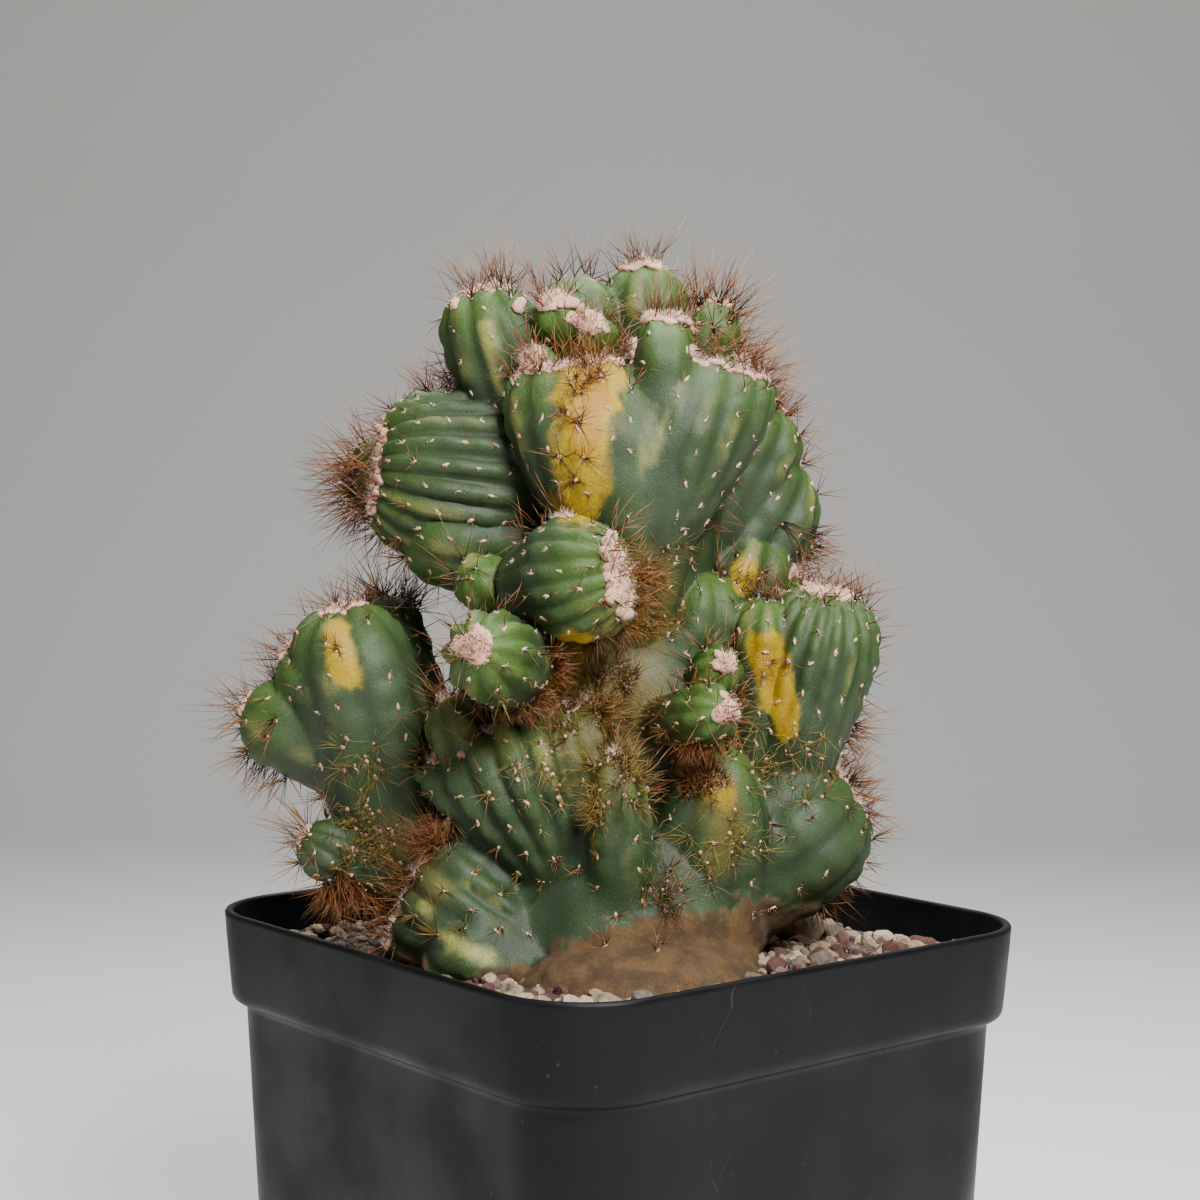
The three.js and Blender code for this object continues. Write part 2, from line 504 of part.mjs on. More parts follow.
// The mix's wall follows the inside of the pot, a gap away from it.
function mixBody() {
  const wall = [
    [BASE_HALF - WALL - FOOT_EDGE - GAP, BASE_CORNER - WALL, WALL + GAP],
    [BASE_HALF - WALL - GAP, BASE_CORNER - WALL, WALL + FOOT_EDGE + GAP],
    [BODY_HALF - WALL - GAP, BODY_CORNER - WALL, BAND_FOOT - 0.6],
    [BAND_HALF - WALL - GAP - 0.1, RIM_CORNER - WALL, BAND_FOOT + STEP_HEIGHT + 0.3],
  ];
  const place = (u, v, target) => {
    const row = Math.round(v * (wall.length + MIX_RINGS));
    if (row === 0) return target.set(0, 0, WALL + GAP);
    const [half, radius, z] = wall[Math.min(row, wall.length) - 1];
    const [edgeX, edgeY] = outlinePoint(half, radius, Math.round(u * OUTLINE_STEPS));
    const share = Math.min(1, 1 - (row - wall.length - 1) / (MIX_RINGS - 1));
    const [x, y] = [edgeX * share, edgeY * share];
    if (row <= wall.length) return target.set(x, y, z);
    const inPlant = new THREE.Vector3(x, y, 0).applyAxisAngle(new THREE.Vector3(0, 0, 1), -PLANT_TURN);
    return target.set(x, y, mixHeight(inPlant.x, inPlant.y));
  };
  let body = solid(new ParametricGeometry(place, OUTLINE_STEPS, wall.length + MIX_RINGS));

  const random = seeded(7);
  const grit = [];
  while (grit.length < GRIT_COUNT) {
    const x = mix(-37, 37, random());
    const y = mix(-37, 37, random());
    const size = mix(1.1, 2.3, random());
    const spot = new THREE.Vector3(x, y, 0).applyAxisAngle(new THREE.Vector3(0, 0, 1), -PLANT_TURN);
    if (Math.hypot(spot.x, spot.y + 6) < 27) continue;
    if (STONES.some((stone) => Math.hypot(stone.place[0] - spot.x, stone.place[1] - spot.y) < 7)) continue;
    const shape = new THREE.IcosahedronGeometry(size);
    shape.scale(1, 0.8, 0.6).rotateZ(6 * random());
    grit.push(solid(shape.translate(x, y, mixHeight(spot.x, spot.y))));
  }
  body = wasm.Manifold.union([body, ...grit]);

  const turned = (shape) => shape.rotate([0, 0, THREE.MathUtils.radToDeg(PLANT_TURN)]);
  for (const head of HEADS.filter((each) => each.from[2] < SUNK_BELOW)) {
    const gap = vec(head.to).sub(vec(head.from)).setLength(GAP);
    const from = vec(head.from).sub(gap).toArray();
    const to = vec(head.to).add(gap).toArray();
    const hole = { ...head, wide: head.wide + GAP, deep: head.deep + GAP, from, to };
    body = body.subtract(turned(headBody(hole)));
  }
  STONES.forEach((stone, i) => {
    body = body.subtract(turned(solid(pebble(i + 1, stone.size, stone.place, GAP))));
  });
  return largest(body);
}

// The whole part

const pottedCactus = new THREE.Group();
pottedCactus.add(node('pot', geometryOf(potBody()), 0x26282b, 0.55));
pottedCactus.add(node('growing_mix', geometryOf(mixBody()), 0x8a7a66, 0.95));

const plant = new THREE.Group();
plant.rotation.z = PLANT_TURN;
plant.add(node('cactus', geometryOf(cactusBody()), 0x5f8560, 0.6));
STONES.forEach((stone, i) => {
  const name = `stone_${String(i + 1).padStart(2, '0')}`;
  plant.add(node(name, geometryOf(solid(pebble(i + 1, stone.size, stone.place, 0))), 0xb3a592, 0.9));
});
pottedCactus.add(plant);

export default pottedCactus;
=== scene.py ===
"""Looks of a potted monstrose Cereus forbesii: skin, areoles, wool, spines, grit and a scuffed pot.

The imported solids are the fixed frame. The plant's heads are built again here from the same named
sizes, with fine ribs, and every finish is procedural. Lengths in this file are millimetres unless
a name says otherwise; meshes are written in metres.
"""

import json
import logging
import math
from dataclasses import dataclass, field
from enum import Enum

import bmesh
import bpy
import numpy as np
from mathutils import Matrix, Vector, noise
from mathutils.bvhtree import BVHTree
from mathutils.kdtree import KDTree

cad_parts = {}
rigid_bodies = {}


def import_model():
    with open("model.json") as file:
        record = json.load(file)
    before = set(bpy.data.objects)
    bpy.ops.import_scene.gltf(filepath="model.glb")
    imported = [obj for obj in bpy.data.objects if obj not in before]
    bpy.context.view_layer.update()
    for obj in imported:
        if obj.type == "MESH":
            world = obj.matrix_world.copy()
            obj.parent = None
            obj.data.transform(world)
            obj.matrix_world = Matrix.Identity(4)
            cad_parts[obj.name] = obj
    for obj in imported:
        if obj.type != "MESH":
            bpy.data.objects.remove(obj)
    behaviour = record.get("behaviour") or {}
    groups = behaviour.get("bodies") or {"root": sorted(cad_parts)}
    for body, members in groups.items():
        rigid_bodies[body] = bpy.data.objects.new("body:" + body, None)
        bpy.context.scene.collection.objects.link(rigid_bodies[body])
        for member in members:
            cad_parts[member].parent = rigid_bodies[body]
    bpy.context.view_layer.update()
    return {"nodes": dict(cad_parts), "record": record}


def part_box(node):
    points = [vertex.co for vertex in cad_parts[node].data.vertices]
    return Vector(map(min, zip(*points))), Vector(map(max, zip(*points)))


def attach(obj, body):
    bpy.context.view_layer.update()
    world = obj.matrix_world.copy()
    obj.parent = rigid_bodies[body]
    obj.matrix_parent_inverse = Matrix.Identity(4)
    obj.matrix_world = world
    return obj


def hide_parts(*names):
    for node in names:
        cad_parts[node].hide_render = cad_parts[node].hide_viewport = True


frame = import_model()

Point = tuple[float, float, float]

MM = 0.001
BODY = "root"
log = logging.getLogger("potted_cactus")

# Driving dimensions that the part's source also names
PLANT_TURN = math.radians(-39.7)
POT_HEIGHT = 84.0
RIM_HALF = 44.0
BAND_HALF = 43.3
BODY_HALF = 41.4
BASE_HALF = 37.9
WALL = 1.2
BAND_HEIGHT = 13.4
RIM_CORNER = 13.0
BODY_CORNER = 12.0
BASE_CORNER = 9.5
DRAIN_RADIUS = 4.5
DRAIN_PLACE = 23.0
PLUG_DEPTH = 19.0
CAP_SHARE = 0.5

# Hairs and spines
AREOLE_HAIRS = 6
AREOLE_HAIR_RADIUS = 0.04
PAD_HAIRS = 20
PAD_HAIR_RADIUS = 0.035
SPINE_RADIUS = 0.085
TIP_SPINE_RADIUS = 0.075
BARE_AREOLES = 0.12

# The photograph's view, in the plant's own axes
CAMERA_PLACE = (-2.13, -304.14, 141.99)
CAMERA_PITCH = math.radians(2.384)
CAMERA_ROLL = math.radians(-0.349)
LENS = 63.53
SENSOR = 36.0


def linear(code: str) -> tuple[float, float, float, float]:
    """Turns an sRGB hex value into linear RGBA.

    Args:
        code: The colour as #rrggbb.

    Returns:
        Red, green, blue and alpha, linear.
    """
    parts = [int(code[i:i + 2], 16) / 255 for i in (1, 3, 5)]
    return (*[c / 12.92 if c <= 0.04045 else ((c + 0.055) / 1.055) ** 2.4 for c in parts], 1.0)


def ease(value: np.ndarray, low: float, high: float) -> np.ndarray:
    """Smooth step from 0 at low to 1 at high.

    Args:
        value: The values to map.
        low: Where the step starts.
        high: Where it ends.

    Returns:
        Values from 0 to 1.
    """
    t = np.clip((np.asarray(value, float) - low) / (high - low), 0, 1)
    return t * t * (3 - 2 * t)


def unit(vectors: np.ndarray) -> np.ndarray:
    """Scales vectors to length 1.

    Args:
        vectors: One vector, or rows of them.

    Returns:
        The same directions, of length 1.
    """
    vectors = np.asarray(vectors, float)
    return vectors / np.maximum(np.linalg.norm(vectors, axis=-1, keepdims=True), 1e-9)


def to_pot(points: np.ndarray) -> np.ndarray:
    """Turns points from the plant's axes to the pot's.

    Args:
        points: Rows of x, y, z in the plant's axes.

    Returns:
        Rows of x, y, z in the pot's axes.
    """
    c, s = math.cos(PLANT_TURN), math.sin(PLANT_TURN)
    points = np.atleast_2d(points)
    x, y = points[:, 0], points[:, 1]
    return np.column_stack([c * x - s * y, s * x + c * y, points[:, 2]])


def wavy(points: np.ndarray, size: float, seed: int) -> np.ndarray:
    """Smooth noise from about -1 to 1, made of sine waves in fixed random directions.

    Args:
        points: Rows of x, y, z.
        size: Typical distance between bumps.
        seed: Which waves.

    Returns:
        One value for each row.
    """
    draw = np.random.default_rng(seed)
    total = np.zeros(len(points))
    for _ in range(6):
        way = unit(draw.normal(size=3)) * (2 * math.pi / (size * draw.uniform(1.4, 2.8)))
        total += np.sin(points @ way + draw.uniform(0, 2 * math.pi))
    return total / 3.2


def new_object(name: str, points: np.ndarray, faces: list, material: bpy.types.Material,
               smooth: bool = True) -> bpy.types.Object:
    """Makes a mesh object from points in the pot's axes.

    Args:
        name: The object's name.
        points: Rows of x, y, z in millimetres.
        faces: Corner indices of each face.
        material: The finish.
        smooth: Whether the faces are shaded smooth.

    Returns:
        The new object, linked to the scene.
    """
    mesh = bpy.data.meshes.new(name)
    mesh.from_pydata((np.asarray(points) * MM).tolist(), [], faces)
    mesh.materials.append(material)
    mesh.polygons.foreach_set("use_smooth", [smooth] * len(mesh.polygons))
    item = bpy.data.objects.new(name, mesh)
    bpy.context.scene.collection.objects.link(item)
    return item


def paint(item: bpy.types.Object, name: str, values: np.ndarray) -> None:
    """Writes a colour attribute, one value set for each vertex.

    Args:
        item: The object.
        name: The attribute's name.
        values: Rows of three numbers from 0 to 1.
    """
    layer = item.data.color_attributes.new(name, "FLOAT_COLOR", "POINT")
    rgba = np.column_stack([np.clip(values, 0, 1), np.ones(len(values))])
    layer.data.foreach_set("color", rgba.astype(np.float32).ravel())


def mount(item: bpy.types.Object, slot: str, *nodes: str) -> bpy.types.Object:
    """Lets a piece ride on the part's body, hides the solids that it stands for, and logs its slot.

    Args:
        item: The piece.
        slot: The record's material slot.
        nodes: Names of the solids that it replaces.

    Returns:
        The piece.
    """
    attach(item, BODY)
    if nodes:
        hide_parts(*nodes)
    log.info("%s: %d faces, slot %s", item.name, len(item.data.polygons), slot)
    return item


# Finishes


def node(tree: bpy.types.NodeTree, kind: str, settings: dict | None = None,
         links: dict | None = None) -> bpy.types.Node:
    """Adds a shader node with its settings and links.

    Args:
        tree: The material's node tree.
        kind: The node's type name, without ShaderNode.
        settings: Values by property name, or by input name or number.
        links: Output sockets by input name or number.

    Returns:
        The new node.
    """
    item = tree.nodes.new("ShaderNode" + kind)
    for key, value in (settings or {}).items():
        if isinstance(key, str) and hasattr(item, key):
            setattr(item, key, value)
        else:
            item.inputs[key].default_value = value
    for key, socket in (links or {}).items():
        tree.links.new(socket, item.inputs[key])
    return item


def blank(name: str) -> tuple[bpy.types.Material, bpy.types.NodeTree, bpy.types.Node]:
    """Starts a material with only its surface shader and output.

    Args:
        name: The material's name.

    Returns:
        The material, its node tree and its surface shader.
    """
    material = bpy.data.materials.new(name)
    material.use_nodes = True
    tree = material.node_tree
    tree.nodes.clear()
    shader = node(tree, "BsdfPrincipled")
    node(tree, "OutputMaterial", links={"Surface": shader.outputs[0]})
    return material, tree, shader


def mixed(tree: bpy.types.NodeTree, share: bpy.types.NodeSocket, low: object, high: object,
          way: str = "MIX") -> bpy.types.NodeSocket:
    """Mixes two colours.

    Args:
        tree: The node tree.
        share: Socket with the second colour's share.
        low: First colour, as a hex code or a socket.
        high: Second colour, as a hex code or a socket.
        way: The blend type.

    Returns:
        The mixed colour's socket.
    """
    item = node(tree, "Mix", {"data_type": "RGBA", "blend_type": way}, {0: share})
    for slot_number, colour in ((6, low), (7, high)):
        if isinstance(colour, str):
            item.inputs[slot_number].default_value = linear(colour)
        else:
            tree.links.new(colour, item.inputs[slot_number])
    return item.outputs[2]


def ramp(tree: bpy.types.NodeTree, socket: bpy.types.NodeSocket, low: float, high: float,
         to_low: float = 0.0, to_high: float = 1.0) -> bpy.types.NodeSocket:
    """Maps a value range smoothly to another.

    Args:
        tree: The node tree.
        socket: The value.
        low: Start of the range.
        high: End of the range.
        to_low: Result at the start.
        to_high: Result at the end.

    Returns:
        The mapped value's socket.
    """
    item = node(tree, "MapRange", {"interpolation_type": "SMOOTHSTEP", 1: low, 2: high, 3: to_low,
                                   4: to_high}, {0: socket})
    return item.outputs[0]


@dataclass(frozen=True)
class WaxySkin:
    """Cactus epidermis: living green skin under a thin bluish wax bloom, corky at the foot.

    The wax spreads the highlights and greys the green; mottles are half a millimetre across. The deep green
    is painted shade, laid in the furrows and at the seams where heads meet.
    """

    green: str = "#2b3c1d"
    # Painted shade: deep is the darker green painted into the furrows and the seams between heads
    deep: str = "#172512"
    young: str = "#3b5518"
    bloom: str = "#37452f"
    cream: str = "#8a8648"
    yellow: str = "#8c7408"
    orange: str = "#8a6500"
    olive: str = "#4e481b"
    cork: str = "#503b22"
    cork_dark: str = "#3a2b19"
    mottle_mm: float = 0.3
    roughness: float = 0.56
    ior: float = 1.42

    def material(self) -> bpy.types.Material:
        """Builds the material from the painted marks, the painted shade and fine noise."""
        material, tree, shader = blank("waxy_cactus_skin")
        place = node(tree, "TexCoord").outputs["Object"]
        marks = node(tree, "VertexColor", {"layer_name": "marks"})
        growth = node(tree, "VertexColor", {"layer_name": "growth"})
        mark = node(tree, "SeparateColor", links={0: marks.outputs[0]})
        shade_and_growth = node(tree, "SeparateColor", links={0: growth.outputs[0]})
        fine = node(tree, "TexNoise", {"Scale": 1 / (self.mottle_mm * MM), "Detail": 3.0, "Roughness": 0.6},
                    {"Vector": place})
        broad = node(tree, "TexNoise", {"Scale": 1 / (9 * MM), "Detail": 3.0}, {"Vector": place})

        # Painted shade: the growth attribute's first channel darkens furrows and seams toward the deep
        # green
        colour = mixed(tree, shade_and_growth.outputs[0], self.deep, self.green)
        colour = mixed(tree, ramp(tree, broad.outputs[0], 0.42, 0.7, 0, 0.45), colour, self.bloom)
        colour = mixed(tree, shade_and_growth.outputs[1], colour, self.young)
        colour = mixed(tree, shade_and_growth.outputs[2], colour, self.olive)
        colour = mixed(tree, mark.outputs[0], colour, self.cream)
        rich = mixed(tree, ramp(tree, mark.outputs[1], 0.62, 0.98), self.yellow, self.orange)
        colour = mixed(tree, ramp(tree, mark.outputs[1], 0.05, 0.5), colour, rich)
        crust = node(tree, "TexNoise", {"Scale": 1 / (5 * MM), "Detail": 8.0, "Roughness": 0.66},
                     {"Vector": place})
        corky = mixed(tree, ramp(tree, crust.outputs[0], 0.4, 0.6), self.cork_dark, self.cork)
        colour = mixed(tree, mark.outputs[2], colour, corky)
        speckle = ramp(tree, fine.outputs[0], 0.3, 0.7, 0.78, 1.24)
        grey = node(tree, "CombineColor", links={0: speckle, 1: speckle, 2: speckle})
        colour = node(tree, "Mix", {"data_type": "RGBA", "blend_type": "MULTIPLY", 0: 1.0},
                      {6: colour, 7: grey.outputs[0]}).outputs[2]
        tree.links.new(colour, shader.inputs["Base Color"])

        rough = ramp(tree, mark.outputs[2], 0, 1, self.roughness, 0.9)
        tree.links.new(rough, shader.inputs["Roughness"])
        grain = node(tree, "Bump", {"Strength": 0.55, "Distance": 0.14 * MM}, {"Height": fine.outputs[0]})
        bark = node(tree, "Math", {"operation": "MULTIPLY"}, {0: crust.outputs[0], 1: mark.outputs[2]})
        lifted = node(tree, "Bump", {"Strength": 0.6, "Distance": 0.6 * MM},
                      {"Height": bark.outputs[0], "Normal": grain.outputs[0]})
        tree.links.new(lifted.outputs[0], shader.inputs["Normal"])
        shader.inputs["IOR"].default_value = self.ior
        shader.inputs["Specular IOR Level"].default_value = 0.4
        shader.inputs["Subsurface Weight"].default_value = 0.12
        shader.inputs["Subsurface Radius"].default_value = (0.5, 0.9, 0.25)
        shader.inputs["Subsurface Scale"].default_value = 1.2 * MM
        return material


@dataclass(frozen=True)
class Strand:
    """Spine or hair: stiff, smooth and hard, darker at its root and bleached at its tip."""

    name: str
    root: str
    middle: str
    tip: str
    old: str
    roughness: float = 0.42

    def material(self) -> bpy.types.Material:
        """Builds the material: the painted run from root to tip, and a tone for each strand."""
        material, tree, shader = blank(self.name)
        run = node(tree, "VertexColor", {"layer_name": "strand"})
        part = node(tree, "SeparateColor", links={0: run.outputs[0]})
        colour = mixed(tree, ramp(tree, part.outputs[0], 0.05, 0.5), self.root, self.middle)
        colour = mixed(tree, ramp(tree, part.outputs[0], 0.55, 1.0), colour, self.tip)
        colour = mixed(tree, part.outputs[2], colour, self.old)
        shade = ramp(tree, part.outputs[1], 0, 1, 0.6, 1.25)
        grey = node(tree, "CombineColor", links={0: shade, 1: shade, 2: shade})
        colour = node(tree, "Mix", {"data_type": "RGBA", "blend_type": "MULTIPLY", 0: 1.0},
                      {6: colour, 7: grey.outputs[0]}).outputs[2]
        tree.links.new(colour, shader.inputs["Base Color"])
        shader.inputs["Roughness"].default_value = self.roughness
        shader.inputs["IOR"].default_value = 1.5
        return material


@dataclass(frozen=True)
class Wool:
    """Areole wool: short felted plant hair, so it is matt and soft-edged, cream with a rosy cast."""

    light: str = "#d9ab90"
    rosy: str = "#b67f6b"
    roughness: float = 0.95

    def material(self) -> bpy.types.Material:
        """Builds the material with a fibre pattern 0.25 mm across."""
        material, tree, shader = blank("areole_wool")
        place = node(tree, "TexCoord").outputs["Object"]
        fibre = node(tree, "TexNoise", {"Scale": 1 / (0.25 * MM), "Detail": 4.0, "Distortion": 1.2},
                     {"Vector": place})
        patch = node(tree, "TexNoise", {"Scale": 1 / (3 * MM)}, {"Vector": place})
        colour = mixed(tree, ramp(tree, patch.outputs[0], 0.4, 0.66), self.light, self.rosy)
        shade = ramp(tree, fibre.outputs[0], 0.3, 0.6, 0.62, 1.0)
        grey = node(tree, "CombineColor", links={0: shade, 1: shade, 2: shade})
        colour = node(tree, "Mix", {"data_type": "RGBA", "blend_type": "MULTIPLY", 0: 1.0},
                      {6: colour, 7: grey.outputs[0]}).outputs[2]
        tree.links.new(colour, shader.inputs["Base Color"])
        fluff = node(tree, "Bump", {"Strength": 0.9, "Distance": 0.2 * MM}, {"Height": fibre.outputs[0]})
        tree.links.new(fluff.outputs[0], shader.inputs["Normal"])
        shader.inputs["Roughness"].default_value = self.roughness
        shader.inputs["Sheen Weight"].default_value = 0.4
        return material


@dataclass(frozen=True)
class PotPlastic:
    """Polypropylene, thermoformed: black, with a soft satin gloss, fine scratches and pale dust."""

    black: str = "#050507"
    worn: str = "#0b0c0f"
    dust: str = "#403d38"
    roughness: float = 0.46
    ior: float = 1.49

    def material(self) -> bpy.types.Material:
        """Builds the material: scratches from stretched noise, dust specks and scuffed patches."""
        material, tree, shader = blank("black_polypropylene")
        place = node(tree, "TexCoord").outputs["Object"]
        cloudy = node(tree, "TexNoise", {"Scale": 1 / (14 * MM), "Detail": 5.0}, {"Vector": place})
        colour = mixed(tree, ramp(tree, cloudy.outputs[0], 0.45, 0.75, 0, 0.6), self.black, self.worn)
        marks = None
        for turn, spread in ((0.5, 26.0), (2.2, 40.0), (1.2, 33.0)):
            wind = node(tree, "TexNoise", {"Scale": 1 / (11 * MM), "Detail": 1.0}, {"Vector": place})
            bent = node(tree, "Mix", {"data_type": "RGBA", "blend_type": "ADD", 0: 0.006},
                        {6: place, 7: wind.outputs[1]})
            laid = node(tree, "Mapping", {"Rotation": (turn, turn * 1.7, turn * 0.6)},
                        {0: bent.outputs[2]})
            cells = node(tree, "TexVoronoi", {"feature": "DISTANCE_TO_EDGE", "Scale": 1 / (spread * MM)},
                         {"Vector": laid.outputs[0]})
            line = ramp(tree, cells.outputs["Distance"], 0.0, 0.0016, 1, 0)
            gate = node(tree, "TexNoise", {"Scale": 1 / (5 * MM), "Detail": 2.0},
                        {"Vector": laid.outputs[0]})
            line = node(tree, "Math", {"operation": "MULTIPLY"},
                        {0: line, 1: ramp(tree, gate.outputs[0], 0.58, 0.68)}).outputs[0]
            marks = line if marks is None else node(tree, "Math", {"operation": "MAXIMUM"},
                                                    {0: marks, 1: line}).outputs[0]
        speck = node(tree, "TexVoronoi", {"Scale": 1 / (2.6 * MM), "Randomness": 1.0}, {"Vector": place})
        dots = ramp(tree, speck.outputs["Distance"], 0.05, 0.11, 1, 0)
        chance = ramp(tree, cloudy.outputs[0], 0.5, 0.6)
        dots = node(tree, "Math", {"operation": "MULTIPLY"}, {0: dots, 1: chance}).outputs[0]
        marks = node(tree, "Math", {"operation": "MAXIMUM"}, {0: marks, 1: dots}).outputs[0]
        veil = node(tree, "Math", {"operation": "MULTIPLY", 1: 0.5}, {0: marks}).outputs[0]
        tree.links.new(mixed(tree, veil, colour, self.dust), shader.inputs["Base Color"])
        rough = ramp(tree, cloudy.outputs[0], 0.3, 0.75, self.roughness - 0.08, self.roughness + 0.14)
        tree.links.new(rough, shader.inputs["Roughness"])
        pebbled = node(tree, "TexNoise", {"Scale": 1 / (1.4 * MM), "Detail": 2.0}, {"Vector": place})
        skin = node(tree, "Bump", {"Strength": 0.12, "Distance": 0.2 * MM}, {"Height": pebbled.outputs[0]})
        tree.links.new(skin.outputs[0], shader.inputs["Normal"])
        shader.inputs["IOR"].default_value = self.ior
        shader.inputs["Specular IOR Level"].default_value = 0.2
        return material


@dataclass(frozen=True)
class Mineral:
    """Crushed volcanic stone: matt, pitted and dusty, with grains half a millimetre across."""

    name: str
    tones: tuple[str, str, str, str]
    pit_mm: float = 0.5
    roughness: float = 0.92

    def material(self) -> bpy.types.Material:
        """Builds the material; the painted attribute picks each stone's tone."""
        material, tree, shader = blank(self.name)
        place = node(tree, "TexCoord").outputs["Object"]
        pick = node(tree, "VertexColor", {"layer_name": "stone"})
        part = node(tree, "SeparateColor", links={0: pick.outputs[0]})
        grain = node(tree, "TexNoise", {"Scale": 1 / (self.pit_mm * MM), "Detail": 5.0, "Roughness": 0.7},
                     {"Vector": place})
        colour = mixed(tree, ramp(tree, part.outputs[0], 0.3, 0.34), self.tones[0], self.tones[1])
        colour = mixed(tree, ramp(tree, part.outputs[0], 0.56, 0.6), colour, self.tones[2])
        colour = mixed(tree, ramp(tree, part.outputs[0], 0.8, 0.84), colour, self.tones[3])
        shade = ramp(tree, grain.outputs[0], 0.3, 0.7, 0.62, 1.2)
        grey = node(tree, "CombineColor", links={0: shade, 1: shade, 2: shade})
        colour = node(tree, "Mix", {"data_type": "RGBA", "blend_type": "MULTIPLY", 0: 1.0},
                      {6: colour, 7: grey.outputs[0]}).outputs[2]
        tree.links.new(colour, shader.inputs["Base Color"])
        pits = node(tree, "Bump", {"Strength": 0.8, "Distance": 0.25 * MM}, {"Height": grain.outputs[0]})
        tree.links.new(pits.outputs[0], shader.inputs["Normal"])
        shader.inputs["Roughness"].default_value = self.roughness
        return material


# Heads of the plant


@dataclass(frozen=True)
class Head:
    """One head of the plant, from its foot to its growing tip, in the plant's axes.

    wide and deep are half its section along across and square to it, foot is the foot's share of
    that size, crest the share of the width left at the tip, spread half the angle over which a
    fan's ribs part, lobes the depth of the notches along a crest, furrow the depth of the grooves,
    and pad the radius of the wool on the tip.
    """

    name: str
    base: Point
    tip: Point
    wide: float
    deep: float
    ribs: int = 8
    across: Point = (1, 0.01, 0)
    bend: Point = (0, 0, 0)
    foot: float = 0.8
    crest: float = 0.0
    round: float = 1.0
    furrow: float = 0.4
    spread: float = 0.0
    lobes: float = 0.0
    pad: float = 0.0
    spiny: float = 1.0

    def cap_start(self) -> float:
        """Share of the way along at which the round cap starts."""
        length = float(np.linalg.norm(np.subtract(self.tip, self.base)))
        return float(np.clip(1 - self.round * min(self.wide, self.deep) / length, 0.15, 0.9))

    def skin(self, u: np.ndarray, q: np.ndarray, notch: float = 0.0) -> np.ndarray:
        """Points of the skin.

        Args:
            u: Once round the head, 0 to 1.
            q: From the foot's edge, 0, to the tip, 1.
            notch: Depth of the dent at each areole.

        Returns:
            Rows of x, y, z.
        """
        u, q = np.broadcast_arrays(np.asarray(u, float), np.asarray(q, float))
        belly = self.cap_start()
        angle = np.clip((q - 1 + CAP_SHARE) / CAP_SHARE, 0, 1) * (math.pi / 2)
        along = np.where(angle > 0, belly + (1 - belly) * np.sin(angle), belly * q / (1 - CAP_SHARE))
        closing = np.cos(angle)
        swell = self.foot + (1 - self.foot) * ease(along, 0, belly)
        base, tip = np.array(self.base, float), np.array(self.tip, float)
        middle = (base + tip) / 2 + np.array(self.bend)
        t = along[..., None]
        centre = base * (1 - t) ** 2 + middle * 2 * t * (1 - t) + tip * t ** 2
        heading = unit((middle - base) * (1 - t) + (tip - middle) * t)
        across = np.array(self.across, float)
        across = unit(across - heading * (heading @ across)[..., None])
        outward = np.cross(heading, across)
        steps = np.linspace(0, math.pi, 49)
        mid = (steps[1:] + steps[:-1]) / 2
        run = np.concatenate([[0], np.cumsum(np.hypot(self.wide * np.sin(mid), self.deep * np.cos(mid)))])
        half = np.where(u > 0.5, 1 - u, u)
        turn = np.interp(2 * half * run[-1], run, steps)
        turn = np.where(u > 0.5, 2 * math.pi - turn, turn)
        ridge = np.abs(np.cos(math.pi * self.ribs * u))
        depth = self.furrow / min(self.wide, self.deep) * ease(along, 0.45 * belly, 0.3 + 0.7 * belly)
        scale = swell * (1 - depth * (1 - ridge))
        if notch:
            parity = 0.5 * (np.round(self.ribs * u) % 2)
            dent = np.cos(2 * math.pi * (self.run_at(q) / AREOLE_STEP - 0.4 - parity))
            scale = scale * (1 - notch / min(self.wide, self.deep) * np.maximum(dent, -0.4) * ridge ** 2
                             * ease(along, 0.2, belly) * ease(closing, 0.05, 0.4))
        side = self.wide * scale * (closing + (1 - closing) * self.crest) * np.cos(turn)
        out = self.deep * scale * closing * np.sin(turn)
        rise = -self.lobes * (1 - ridge) * (1 - closing)
        if self.spread:
            radius = self.wide / self.spread
            reach = radius - float(np.linalg.norm(tip - base)) * (1 - along) + rise
            rise = rise + reach * (np.cos(side / radius) - 1)
            side = reach * np.sin(side / radius)
        return centre + heading * rise[..., None] + across * side[..., None] + outward * out[..., None]

    def run_at(self, q: np.ndarray) -> np.ndarray:
        """Distance along a ridge from the tip.

        Args:
            q: From the foot's edge, 0, to the tip, 1.

        Returns:
            Millimetres from the tip.
        """
        steps = np.linspace(1, 0, 80)
        line = self.skin(np.full(80, 0.25), steps)
        run = np.concatenate([[0], np.cumsum(np.linalg.norm(np.diff(line, axis=0), axis=1))])
        return np.interp(1 - np.asarray(q, float), 1 - steps, run)

    def normal(self, u: np.ndarray, q: np.ndarray) -> np.ndarray:
        """Outward directions of the skin at (u, q)."""
        step = 0.01
        q = np.minimum(q, 0.99)
        round_it = self.skin((u + step) % 1, q) - self.skin((u + 1 - step) % 1, q)
        return unit(np.cross(round_it, self.skin(u, q + step) - self.skin(u, q - step)))

    def heading(self) -> np.ndarray:
        """Direction in which the head grows at its tip."""
        return unit(np.subtract(self.tip, np.add(np.add(self.base, self.tip) / 2, self.bend)))


AREOLE_STEP = 4.4
NOTCH = 0.32

